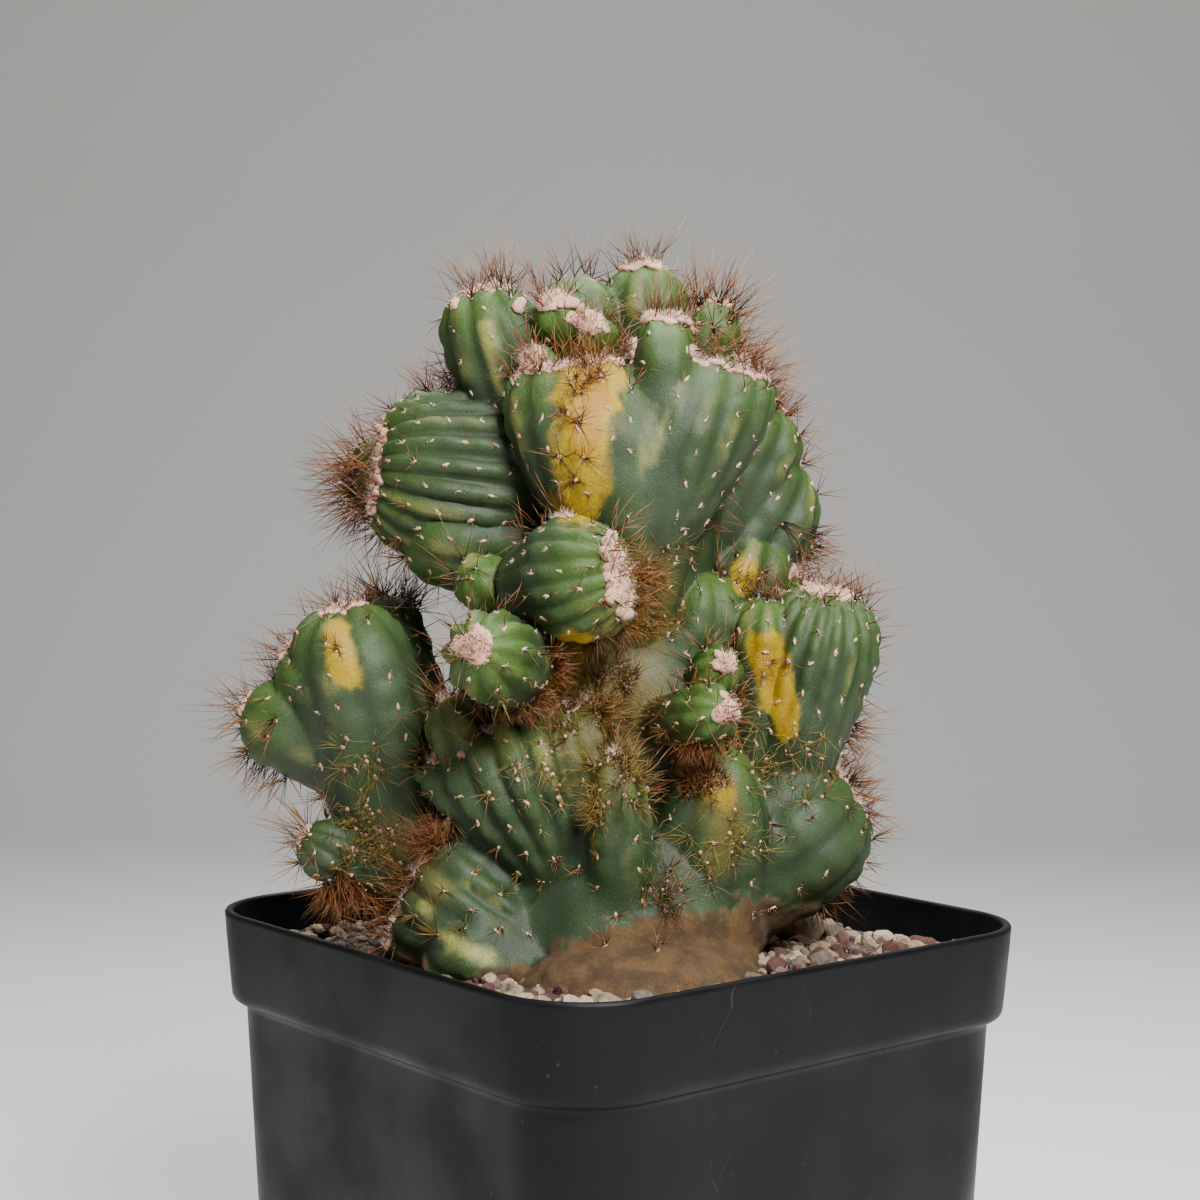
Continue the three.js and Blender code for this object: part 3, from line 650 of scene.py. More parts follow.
HEADS = (
    # Trunk and the inner mass that carries the heads
    Head("root", (0, -8, 81 - PLUG_DEPTH), (0, -8, 104), 21, 23, 8),
    Head("core_low", (-2, -3, 88), (-2, -5, 131), 21, 17, 8, foot=0.85),
    Head("core", (0, 0, 104), (2, -2, 166), 14, 14, 8, foot=0.9),
    # Top: the big fan in front, with small heads round and behind it
    Head("fan_right", (2, -8.5, 124), (11.8, -15, 163), 12.8, 11.5, 14, across=(0.94, 0, -0.34),
         spread=0.29, foot=0.75, crest=0.75, furrow=0.6, lobes=0.7, pad=1.6),
    Head("fan_middle", (3, -8, 126), (6.8, -16, 168.4), 4.6, 9.5, 6, foot=0.7, crest=0.5, round=1.6,
         furrow=0.6, pad=1.9),
    Head("fan_left", (-1, -9, 124), (-6.9, -19, 161.6), 11.2, 11, 12, across=(1, 0, 0.3), spread=0.26,
         foot=0.7, crest=0.6, furrow=0.6, lobes=0.6, pad=1.2),
    Head("fan_web", (1, -8.6, 123), (1.7, -16.8, 160.6), 10.2, 12.6, 8, foot=0.7, crest=0.3, round=1.5),
    Head("finger", (-9, -4, 138), (-19, -9, 172.4), 7.2, 7.5, 8, across=(1, 0, 0.3), foot=0.7, crest=0.4,
         furrow=1.3, lobes=0.8, pad=2),
    Head("crown", (-4, -4, 148), (-6, -7, 175), 7, 8, 8, furrow=0.8),
    Head("crown_knob_1", (-7, -10, 164), (-9, -15, 171), 3.6, 3.2, 6, pad=2.3),
    Head("crown_knob_2", (-2, -9, 162), (-3.6, -16, 168), 3.4, 3.2, 6, pad=1.9),
    Head("crown_knob_3", (-8, -12, 158), (-11.4, -18.5, 163), 3.2, 3.2, 6, pad=1.7),
    Head("top", (4, -2, 156), (3.6, -4, 177), 6.8, 7, 7, furrow=1, pad=2.4),
    Head("top_right", (9, -2, 156), (14.8, -3, 171.4), 4.4, 5, 6, furrow=0.6, pad=1.6),
    Head("top_shoulder", (8, 0, 150), (17.6, -5, 163), 5, 6, 6, furrow=0.6, pad=1.4),
    # Upper left: the drum, growing sideways from an upright crest
    Head("drum", (-4, -3, 144), (-33.2, -10, 147.8), 13, 12, 22, across=(0.1, 0, 1), foot=0.72, crest=0.5,
         round=1.15, furrow=1.5, lobes=0.8, pad=1.6),
    Head("drum_low", (-6, -6, 137), (-29, -11, 138.5), 7, 9, 8, across=(0, 0, 1), crest=0.3, furrow=0.7),
    Head("drum_top", (-10, -2, 148), (-22.5, -5, 159.4), 6.4, 7, 8, furrow=0.8, pad=1.6),
    Head("drum_back", (-18, 4, 146), (-38, 1, 147), 6.5, 6, 8, across=(0, 0, 1), crest=0.4, furrow=0.8,
         pad=1.5),
    # Upper right, behind the fan
    Head("shoulder", (8, 4, 128), (23.2, 6, 157.4), 7.4, 8.5, 8, furrow=1.2, pad=1.8),
    Head("elbow", (8, 4, 122), (26, 10, 149.4), 9.4, 9.5, 9, foot=0.75, furrow=1.3, pad=1.5),
    Head("elbow_low", (8, 2, 112), (21.5, 5, 140), 8.6, 8.6, 8, furrow=1.2),
    Head("right_stem", (8, -3, 98), (12, -6, 134), 8.6, 7.5, 8, foot=0.9, furrow=1.2),
    # Pups in front
    Head("middle_pup", (-12.5, -22, 132.5), (0.2, -34, 134), 8.4, 8, 16, across=(-0.42, 0, 0.9), foot=0.6,
         crest=0.5, furrow=0.8, lobes=0.6, pad=1.7),
    Head("middle_knob", (-7, -20, 134), (-7, -26, 141), 3, 3, 6, pad=1.3),
    Head("dark_pup", (-10, -12, 127), (-20, -24, 134), 4, 4, 7, furrow=0.5),
    Head("front_pup", (-10, -15, 119), (-17.6, -41.5, 125.2), 6.4, 6.4, 10, foot=0.6, furrow=1.1, pad=2.2),
    Head("right_pup", (4, -16, 113), (14.6, -30.5, 116.4), 4.3, 4.3, 9, foot=0.7, furrow=0.7, pad=1.7),
    Head("right_pup_high", (10, -10, 116), (14.6, -21.5, 122), 3.5, 3.5, 8, furrow=0.6, pad=1.4),
    # Left stem
    Head("left_stem", (-25, -9, 88), (-38.2, -12, 128.6), 9.2, 9, 7, bend=(-3, 0, -1), foot=0.9, crest=0.3,
         furrow=0.8, lobes=1, pad=1.5),
    Head("left_back", (-24, 0, 98), (-34.6, 1, 129.8), 5.8, 6.5, 8, foot=0.9, furrow=0.9, pad=1.5),
    Head("left_nub", (-34, -9, 107), (-51.6, -10, 114.6), 6.4, 6.2, 7, foot=1.1, round=0.9, furrow=0.6,
         pad=1.4),
    Head("left_lobe", (-34, -10, 112), (-45.4, -11.5, 122.6), 6.2, 7, 7, foot=1, furrow=0.6, pad=1.3),
    Head("left_foot", (-22, -10, 90), (-31.5, -13, 101.5), 8, 8, 8, foot=1, furrow=0.5),
    Head("low_pup", (-30, -12, 90), (-42.4, -16.5, 97.6), 4.3, 4.2, 9, furrow=0.7, pad=1.2),
    # Lower body: folds that spread like a fan, and a column beside them
    Head("sweep_high", (-2.2, -14.5, 85), (-15.2, -21, 114.4), 16, 10, 16, spread=0.38, foot=1, crest=0.85,
         furrow=1.5, lobes=2.2, pad=1),
    Head("sweep_knob", (-14, -14, 98), (-23.2, -19, 116.6), 4.8, 7, 6, foot=1, round=1.4, furrow=0.9,
         pad=1),
    Head("sweep_low", (-3, -15, 80), (-28, -19.5, 92), 12.5, 11.5, 14, across=(0.43, 0, 0.9), spread=0.38,
         foot=1, crest=0.8, furrow=1.5, lobes=1.2, pad=1.2),
    Head("hem", (4, -17, 79.5), (-25, -26, 83.6), 6.4, 8, 8, across=(0.1, 0, 1), foot=0.9, crest=0.3,
         furrow=0.9),
    Head("collar", (3, -16, 79), (2, -42, 79.6), 15, 6.4, 10, foot=1.2, round=1.4),
    Head("apron", (8, -12, 83), (-10, -21, 102), 9, 9.5, 10, across=(0.7, 0, 0.7), foot=0.8, furrow=0.8),
    Head("column", (1, -21, 84), (-0.2, -27.6, 110.6), 4.8, 6.5, 6, foot=1.2, round=2, furrow=0.8, pad=1),
    # Lower right body and the club that stands on it
    Head("right_foot", (12, -13, 83), (13.4, -19, 110.8), 8.6, 8.2, 8, foot=1, round=1.6, furrow=0.7),
    Head("right_low", (9, -7, 86), (33.6, -4, 102.6), 11, 12, 9, across=(-0.4, 0, 0.9), foot=0.9, crest=0.4,
         furrow=0.8, lobes=0.8, pad=1.4),
    Head("club", (22, -3, 98), (30, -9, 130.8), 9, 9.2, 18, foot=0.66, crest=0.35, furrow=0.9, lobes=0.5,
         pad=1.9),
    Head("club_left", (19, -5, 104), (21, -9.5, 130), 5, 7, 8, furrow=0.7),
    Head("club_back", (22, 2, 106), (26, 3, 132.6), 6.2, 6.5, 9, furrow=0.8, pad=1.6),
    # Back of the plant
    Head("back_fan", (-2, 6, 122), (-8, 19, 162), 13, 10, 12, across=(0.95, 0, 0.2), spread=0.27, foot=0.7,
         crest=0.7, furrow=1.2, lobes=1, pad=1.7),
    Head("back_top", (4, 4, 148), (7, 9, 172), 7, 7, 8, furrow=0.9, pad=1.9),
    Head("back_right", (8, 8, 116), (15, 24, 147), 8.5, 8.5, 9, foot=0.7, furrow=1.1, pad=1.8),
    Head("back_drum", (-6, 6, 124), (-21, 21, 141), 9, 8, 10, across=(0.3, 0, 1), foot=0.75, crest=0.4,
         furrow=1.2, pad=1.6),
    Head("back_pup", (-2, 10, 112), (-4, 27, 125), 6.4, 6.4, 10, foot=0.7, furrow=1, pad=1.8),
    Head("back_stem", (8, 8, 90), (19, 20, 121), 8.4, 8.4, 8, foot=0.9, furrow=1.1, pad=1.7),
    Head("back_low", (-6, 6, 86), (-14, 21, 111), 9.5, 9, 9, foot=0.9, furrow=1.2, pad=1.6),
    Head("back_foot", (2, 4, 85), (2, 21, 98), 10, 9, 9, furrow=1, pad=1.4),
)


class Mark(Enum):
    """What a streak does to the skin."""

    CREAM = 0
    YELLOW = 1
    CORK = 2
    OLIVE = 3


@dataclass(frozen=True)
class Streak:
    """A soft-edged streak of colour between two places on the front, in the plant's axes."""

    mark: Mark
    start: Point
    end: Point
    width: float
    end_width: float
    strength: float = 1.0

    def share(self, points: np.ndarray) -> np.ndarray:
        """How strongly the streak colours each point; depth counts a quarter.

        Args:
            points: Rows of x, y, z.

        Returns:
            Shares from 0 to the streak's strength.
        """
        flat = np.array([1, 0.25, 1])
        start, end = np.array(self.start) * flat, np.array(self.end) * flat
        run = end - start
        t = np.clip((points * flat - start) @ run / (run @ run), 0, 1)
        gap = np.linalg.norm(points * flat - start - t[:, None] * run, axis=1)
        width = self.width + (self.end_width - self.width) * t
        ragged = 1 + 0.2 * wavy(points, 1.6, 3) + 0.12 * wavy(points, 0.6, 4)
        return self.strength * ease(-gap * ragged / width, -1.3, -0.4)


STREAKS = (
    # Yellow skin on the fan: golden at its crest, pale below
    Streak(Mark.YELLOW, (-4.0, -29, 161), (-4.8, -28, 143.5), 5.2, 4.0, 0.5),
    Streak(Mark.YELLOW, (-2.6, -29, 161), (-4.4, -29, 151), 4.2, 2.8, 1.0),
    Streak(Mark.YELLOW, (3.4, -28, 166), (1.2, -28, 161), 1.1, 0.8, 0.5),
    # Yellow skin on the club, the left stem, the column and the valleys
    Streak(Mark.YELLOW, (20.8, -14, 123), (23.8, -15, 112), 2.9, 1.5, 0.8),
    Streak(Mark.YELLOW, (-38, -20, 126.5), (-36.6, -21, 120.5), 1.8, 2.3, 0.6),
    Streak(Mark.YELLOW, (-3.3, -33, 99), (-2.8, -32, 88), 1.3, 0.7, 0.32),
    Streak(Mark.YELLOW, (-5.7, -24, 125), (-7, -22, 120), 3.0, 2.4, 0.7),
    Streak(Mark.YELLOW, (18.5, -4, 134), (18, -5, 132), 2.4, 2.0, 0.5),
    Streak(Mark.YELLOW, (9.5, -26, 108), (14.5, -26, 104.5), 2.6, 2.4, 0.34),
    Streak(Mark.OLIVE, (14, -25, 104), (14.6, -25, 96), 3.4, 2.6, 0.9),
    Streak(Mark.OLIVE, (3, -18, 133), (-1, -20, 112), 6.0, 8.0, 0.8),
    Streak(Mark.OLIVE, (-24, -24, 116), (-16, -26, 112), 3.5, 3.0, 0.5),
    Streak(Mark.OLIVE, (-30, -20, 97), (-24, -24, 92), 4.0, 3.0, 0.6),
    # Cream ridges of the fan and the finger
    Streak(Mark.CREAM, (9.2, -27, 161.5), (4.5, -28, 155.4), 0.9, 1.0, 0.85),
    Streak(Mark.CREAM, (4.5, -28, 155.4), (3.1, -28, 147), 1.0, 0.8, 0.6),
    Streak(Mark.CREAM, (7.8, -28, 157.2), (5.2, -28, 151.3), 0.8, 1.1, 0.95),
    Streak(Mark.CREAM, (5.2, -28, 151.3), (3.1, -28, 146), 1.0, 0.6, 0.7),
    Streak(Mark.CREAM, (10.7, -27, 160), (9.6, -27, 153.7), 0.9, 0.6, 0.65),
    Streak(Mark.CREAM, (13.6, -24, 151.6), (16.9, -24, 145), 0.5, 0.6, 0.35),
    Streak(Mark.CREAM, (-14.2, -24, 157), (-12.8, -24, 149), 1.1, 0.8, 0.5),
    Streak(Mark.CREAM, (-18, -16, 167.3), (-16, -16, 158.5), 0.9, 0.7, 0.7),
    # Cream folds of the drum and the lower body
    Streak(Mark.CREAM, (-27, -22, 137.6), (-20, -22, 136), 1.2, 1.4, 0.5),
    Streak(Mark.CREAM, (-19.1, -31, 99.5), (-15, -31, 96.6), 0.7, 0.9, 0.8),
    Streak(Mark.CREAM, (-18.2, -32, 95.6), (-11.1, -32, 90.3), 0.9, 0.8, 0.9),
    Streak(Mark.CREAM, (-21.1, -31, 94.7), (-15.8, -31, 90.1), 0.9, 1.0, 0.9),
    Streak(Mark.CREAM, (-28.2, -29, 91), (-24.9, -29, 89.3), 0.9, 0.9, 0.9),
    Streak(Mark.CREAM, (-24.6, -31, 87.3), (-16.3, -32, 83.9), 1.0, 1.0, 0.8),
    Streak(Mark.CREAM, (-22, -32, 91), (-11, -33, 86), 0.6, 0.6, 0.5),
    Streak(Mark.CREAM, (-18.3, -30, 113.5), (-18.2, -30, 108.5), 0.8, 0.7, 0.7),
    Streak(Mark.CREAM, (-10, -30, 111), (-9.4, -31, 107), 1.2, 0.9, 0.5),
    Streak(Mark.CREAM, (0.4, -33, 100), (1.4, -33, 94), 0.7, 0.6, 0.4),
    # Corky scar on the left stem
    Streak(Mark.CORK, (-41.6, -20, 114.3), (-38.4, -20, 113.3), 0.7, 0.5, 0.9),
)


def rib_luck(owner: np.ndarray, rib: np.ndarray) -> np.ndarray:
    """A steady random share for each rib of each head.

    Args:
        owner: The head that each point belongs to.
        rib: The rib that it lies on.

    Returns:
        Shares from 0 to 1, the same each run.
    """
    value = np.sin(owner * 12.9898 + rib * 78.233) * 43758.5453
    return value - np.floor(value)


# Strands and lumps


class Strands:
    """Many tapered three-sided strands gathered into one mesh."""

    def __init__(self, bent: bool = True) -> None:
        """Starts with no strand.

        Args:
            bent: Whether each strand has a bend halfway; a short hair has none.
        """
        self.levels = (0.0, 0.5) if bent else (0.0,)
        self.rows: list[tuple] = []

    def add(self, roots: np.ndarray, ways: np.ndarray, lengths: np.ndarray, radius: float,
            tones: np.ndarray, old: float = 0.0, droop: float = 0.08) -> None:
        """Adds strands.

        Args:
            roots: Rows of x, y, z of their roots.
            ways: Rows of their directions.
            lengths: Their lengths.
            radius: Radius at the root.
            tones: Shade of each, from 0 to 1.
            old: How bleached and old they are, from 0 to 1.
            droop: How far they bend, as a share of their length.
        """
        count = len(roots)
        if count:
            self.rows.append((roots, unit(ways), lengths, np.full(count, radius), tones,
                              np.full(count, old), np.full(count, droop)))

    def build(self, name: str, material: bpy.types.Material, seed: int) -> bpy.types.Object:
        """Makes the mesh of all strands.

        Args:
            name: The object's name.
            material: The finish.
            seed: Seed of the bends.

        Returns:
            The new object.
        """
        draw = np.random.default_rng(seed)
        roots, ways, lengths, radii, tones, old, droop = (np.concatenate(part) for part in zip(*self.rows))
        count = len(roots)
        side = unit(np.cross(ways, draw.normal(size=(count, 3))))
        other = np.cross(ways, side)
        sway = side * (lengths * droop * draw.uniform(-1, 1, count))[:, None]
        tip = 3 * len(self.levels)
        points = np.zeros((count, tip + 1, 3))
        run = np.zeros((count, tip + 1))
        for level, along in enumerate(self.levels):
            middle = roots + ways * (along * lengths)[:, None] + 2 * along * sway
            for k in range(3):
                angle = 2 * math.pi * k / 3
                ring = (side * math.cos(angle) + other * math.sin(angle)) * radii[:, None]
                points[:, 3 * level + k] = middle + ring * (1 - 0.68 * along)
                run[:, 3 * level + k] = along
        points[:, tip] = roots + ways * lengths[:, None]
        run[:, tip] = 1.0
        pattern = [(2, 1, 0), (tip - 3, tip - 2, tip), (tip - 2, tip - 1, tip), (tip - 1, tip - 3, tip)]
        if tip > 3:
            pattern += [(0, 1, 4, 3), (1, 2, 5, 4), (2, 0, 3, 5)]
        faces = [tuple((tip + 1) * i + c for c in face) for i in range(count) for face in pattern]
        item = new_object(name, to_pot(points.reshape(-1, 3)), faces, material)
        marks = [run.ravel(), np.repeat(tones, tip + 1), np.repeat(old, tip + 1)]
        paint(item, "strand", np.column_stack(marks))
        return item


class Lumps:
    """Many small rounded lumps gathered into one mesh."""

    def __init__(self, fineness: int) -> None:
        """Starts with no lump.

        Args:
            fineness: Subdivisions of each lump.
        """
        template = bmesh.new()
        bmesh.ops.create_icosphere(template, subdivisions=fineness, radius=1)
        self.shape = np.array([v.co[:] for v in template.verts])
        self.faces = [tuple(v.index for v in face.verts) for face in template.faces]
        template.free()
        self.points: list[np.ndarray] = []
        self.marks: list[np.ndarray] = []

    def add(self, place: np.ndarray, axes: np.ndarray, sizes: np.ndarray, rough: float, seed: int,
            mark: float = 0.0, chips: int = 0) -> None:
        """Adds one lump.

        Args:
            place: Its centre.
            axes: Three rows of unit directions.
            sizes: Half sizes along them.
            rough: How uneven it is, as a share of its size.
            seed: Which unevenness.
            mark: Value painted on it.
            chips: How many flat faces are struck off it.
        """
        shape = self.shape * (1 + rough * wavy(self.shape, 0.75, seed))[:, None]
        draw = np.random.default_rng(seed)
        for _ in range(chips):
            way = unit(draw.normal(size=3))
            over = np.maximum(0, shape @ way - draw.uniform(0.5, 0.8))
            shape = shape - over[:, None] * way
        self.points.append(place + (shape * sizes) @ axes)
        self.marks.append(np.full(len(self.shape), mark))

    def build(self, name: str, material: bpy.types.Material, layer: str | None = None,
              smooth: bool = True) -> bpy.types.Object:
        """Makes the mesh of all lumps.

        Args:
            name: The object's name.
            material: The finish.
            layer: Name of the painted attribute, if it is needed.
            smooth: Whether it is shaded smooth.

        Returns:
            The new object.
        """
        step = len(self.shape)
        faces = [tuple(step * i + c for c in face) for i in range(len(self.points)) for face in self.faces]
        item = new_object(name, to_pot(np.concatenate(self.points)), faces, material, smooth)
        if layer:
            value = np.concatenate(self.marks)
            paint(item, layer, np.column_stack([value, value, value]))
        return item


# Plant


@dataclass(frozen=True)
class Mat:
    """A dense mat of spines round a place: count of bunches, spines in each, and their lengths."""

    place: Point
    size: float
    bunches: int
    each: int
    length: tuple[float, float]
    lean: Point = (0, -0.4, 0.2)
    old: float = 0.0
    radius: float = 0.08
    spread: float = 0.5


MATS = (
    # Long loose spines on the outline
    Mat((14, -3, 168), 5.5, 18, 9, (6, 12), (0.6, -0.3, 0.6)),
    Mat((18, -4, 162), 4, 8, 8, (6, 11), (0.9, -0.3, 0.1)),
    Mat((-16, -8, 172), 6, 9, 8, (6, 10), (-0.3, -0.2, 0.9)),
    Mat((-38, -2, 147), 6.5, 18, 9, (6, 11), (-1, -0.2, 0.1)),
    Mat((-36, -3, 138), 5, 8, 8, (5, 9), (-0.9, -0.2, -0.4)),
    Mat((-24, -1, 159), 5.5, 11, 8, (5, 10), (-0.6, 0, 0.8)),
    Mat((36, -1, 108), 5.5, 14, 8, (4, 9), (0.9, -0.3, 0)),
    Mat((34, 0, 101), 5, 12, 8, (4, 8), (0.9, -0.3, -0.2)),
    Mat((33, 2, 128), 6, 12, 7, (6, 10), (0.8, 0, 0.5)),
    Mat((-47, -4, 118), 6.5, 14, 9, (5, 9), (-0.9, 0.2, 0.3)),
    Mat((-47, -8, 109), 5, 14, 10, (5, 9), (-0.7, -0.3, -0.8)),
    Mat((-42, 0, 126), 6, 12, 8, (5, 9), (-0.7, 0.3, 0.6)),
    Mat((-28, 3, 131), 5.5, 10, 8, (4, 8), (-0.1, 0.1, 1)),
    Mat((23, 2, 157), 5, 8, 7, (5, 9), (0.6, 0.2, 0.7)),
    Mat((27, 8, 136), 6, 14, 8, (4, 8), (0.8, 0, -0.3)),
    Mat((27, -3, 91), 5, 14, 10, (5, 9), (0.3, -0.4, -0.9), 0.2),
    Mat((-37, -17, 90), 5, 22, 10, (4, 8), (-0.2, -0.5, -0.8)),
    # Fine dense bristles in the valleys between heads
    Mat((-4.5, -25, 161), 3.6, 14, 11, (2.5, 5), (-0.2, -0.6, 0.1), 0, 0.06),
    Mat((5, -22, 133), 5, 28, 12, (2.5, 5), (0.3, -0.8, 0), 0.2, 0.055),
    Mat((2, -22, 126), 5.5, 42, 12, (2.5, 5.5), (0.2, -0.8, 0), 0.3, 0.055),
    Mat((0, -22, 118), 5.5, 38, 12, (3, 6.5), (0, -0.8, 0), 0.4, 0.055),
    Mat((-6, -26, 123), 4.5, 28, 12, (2.5, 5), (0, -0.9, 0), 0, 0.055),
    Mat((-9, -26, 116), 5, 26, 12, (2.5, 5), (0, -0.9, 0.2), 0.1, 0.055),
    Mat((11.5, -26, 108), 4.4, 60, 14, (1.8, 3.8), (0, -0.8, 0.3), 0, 0.06),
    Mat((18.5, -2, 133), 2.8, 9, 9, (1.8, 3.2), (0.3, -0.8, 0.2), 0, 0.055),
    Mat((-33, -18, 97), 5.5, 44, 9, (1.8, 3.6), (-0.2, -0.8, 0), 0.9, 0.05),
    Mat((-23, -20, 98), 3.2, 24, 14, (4, 7), (0, -0.8, -0.3), 0, 0.055),
    Mat((7, -27, 92), 3.5, 12, 10, (4, 8), (0, -0.9, 0.2), 0.2, 0.055),
    Mat((-3, -31, 104), 3.4, 26, 10, (2, 4), (0, -0.9, 0.2), 0.7, 0.055),
    Mat((2, -30, 108), 4.0, 18, 9, (3, 5.5), (0, -0.9, 0.3), 0.5, 0.06),
    # Old yellowed spines, in stars that lie nearly flat
    Mat((24, -14, 106), 7, 22, 8, (3, 6), (0, 0, 0), 0.95, 0.055, 1.1),
    Mat((15, -22, 98), 6, 16, 8, (3, 5.5), (0, 0, 0), 0.95, 0.055, 1.1),
    Mat((-12, -30, 108), 8, 20, 7, (2.5, 5), (0, 0, 0), 0.9, 0.055, 1.0),
    Mat((-34, -18, 106), 6, 14, 7, (3, 5.5), (0, 0, 0), 0.8, 0.055, 1.1),
    Mat((10, -10, 126), 7, 22, 8, (2.5, 5), (0, 0, 0), 0.7, 0.055, 1.0),
    # Stars on the yellow skin
    Mat((-7.8, -28, 149), 0.2, 1, 16, (3.5, 6), (0, 0, 0), 0, 0.07, 1.3),
    Mat((-3.6, -29, 148.6), 0.2, 1, 13, (3.5, 6.5), (0, 0, 0), 0, 0.07, 1.3),
    Mat((-6.2, -28, 145.4), 0.2, 1, 15, (3.5, 6.5), (0, 0, 0), 0, 0.07, 1.3),
    Mat((-4.6, -29, 154.2), 0.2, 1, 20, (4, 7), (0, 0, 0), 0, 0.07, 1.3),
    Mat((-2.6, -29, 156.4), 0.2, 1, 18, (4, 7), (0, 0, 0), 0, 0.07, 1.3),
    Mat((-1.6, -29, 159.4), 0.2, 1, 17, (3, 6), (0, 0, 0), 0, 0.07, 1.3),
    Mat((0.8, -28, 158.8), 0.2, 1, 13, (3, 5), (0, 0, 0), 0, 0.07, 1.3),
    Mat((-7.6, -28, 156), 1.0, 3, 10, (2.5, 4.5), (-0.2, 0, 0), 0, 0.055, 1.0),
    Mat((21, -16, 121), 1.6, 4, 8, (2, 4), (0, 0, 0), 0, 0.055, 1.2),
    Mat((-37, -21, 124), 1.6, 3, 8, (2, 4), (0, 0, 0), 0, 0.055, 1.2),
    # Back of the plant
    Mat((-8, 20, 162), 7, 16, 8, (5, 9), (0, 0.8, 0.6)),
    Mat((6, 16, 152), 6, 20, 10, (3, 6), (0, 0.9, 0), 0, 0.06),
    Mat((2, 22, 136), 6, 26, 10, (3, 6), (0, 0.9, 0), 0, 0.06),
    Mat((16, 24, 138), 6, 12, 8, (4, 8), (0.5, 0.8, 0)),
    Mat((-20, 20, 128), 6, 14, 8, (4, 8), (-0.5, 0.8, 0)),
    Mat((8, 24, 112), 6, 26, 10, (3, 6), (0, 0.9, 0), 0.3, 0.06),
    Mat((-14, 24, 104), 6, 24, 10, (3, 6), (0, 0.9, 0), 0.4, 0.06),
    Mat((24, 14, 108), 6, 14, 8, (4, 8), (0.7, 0.6, 0)),
)


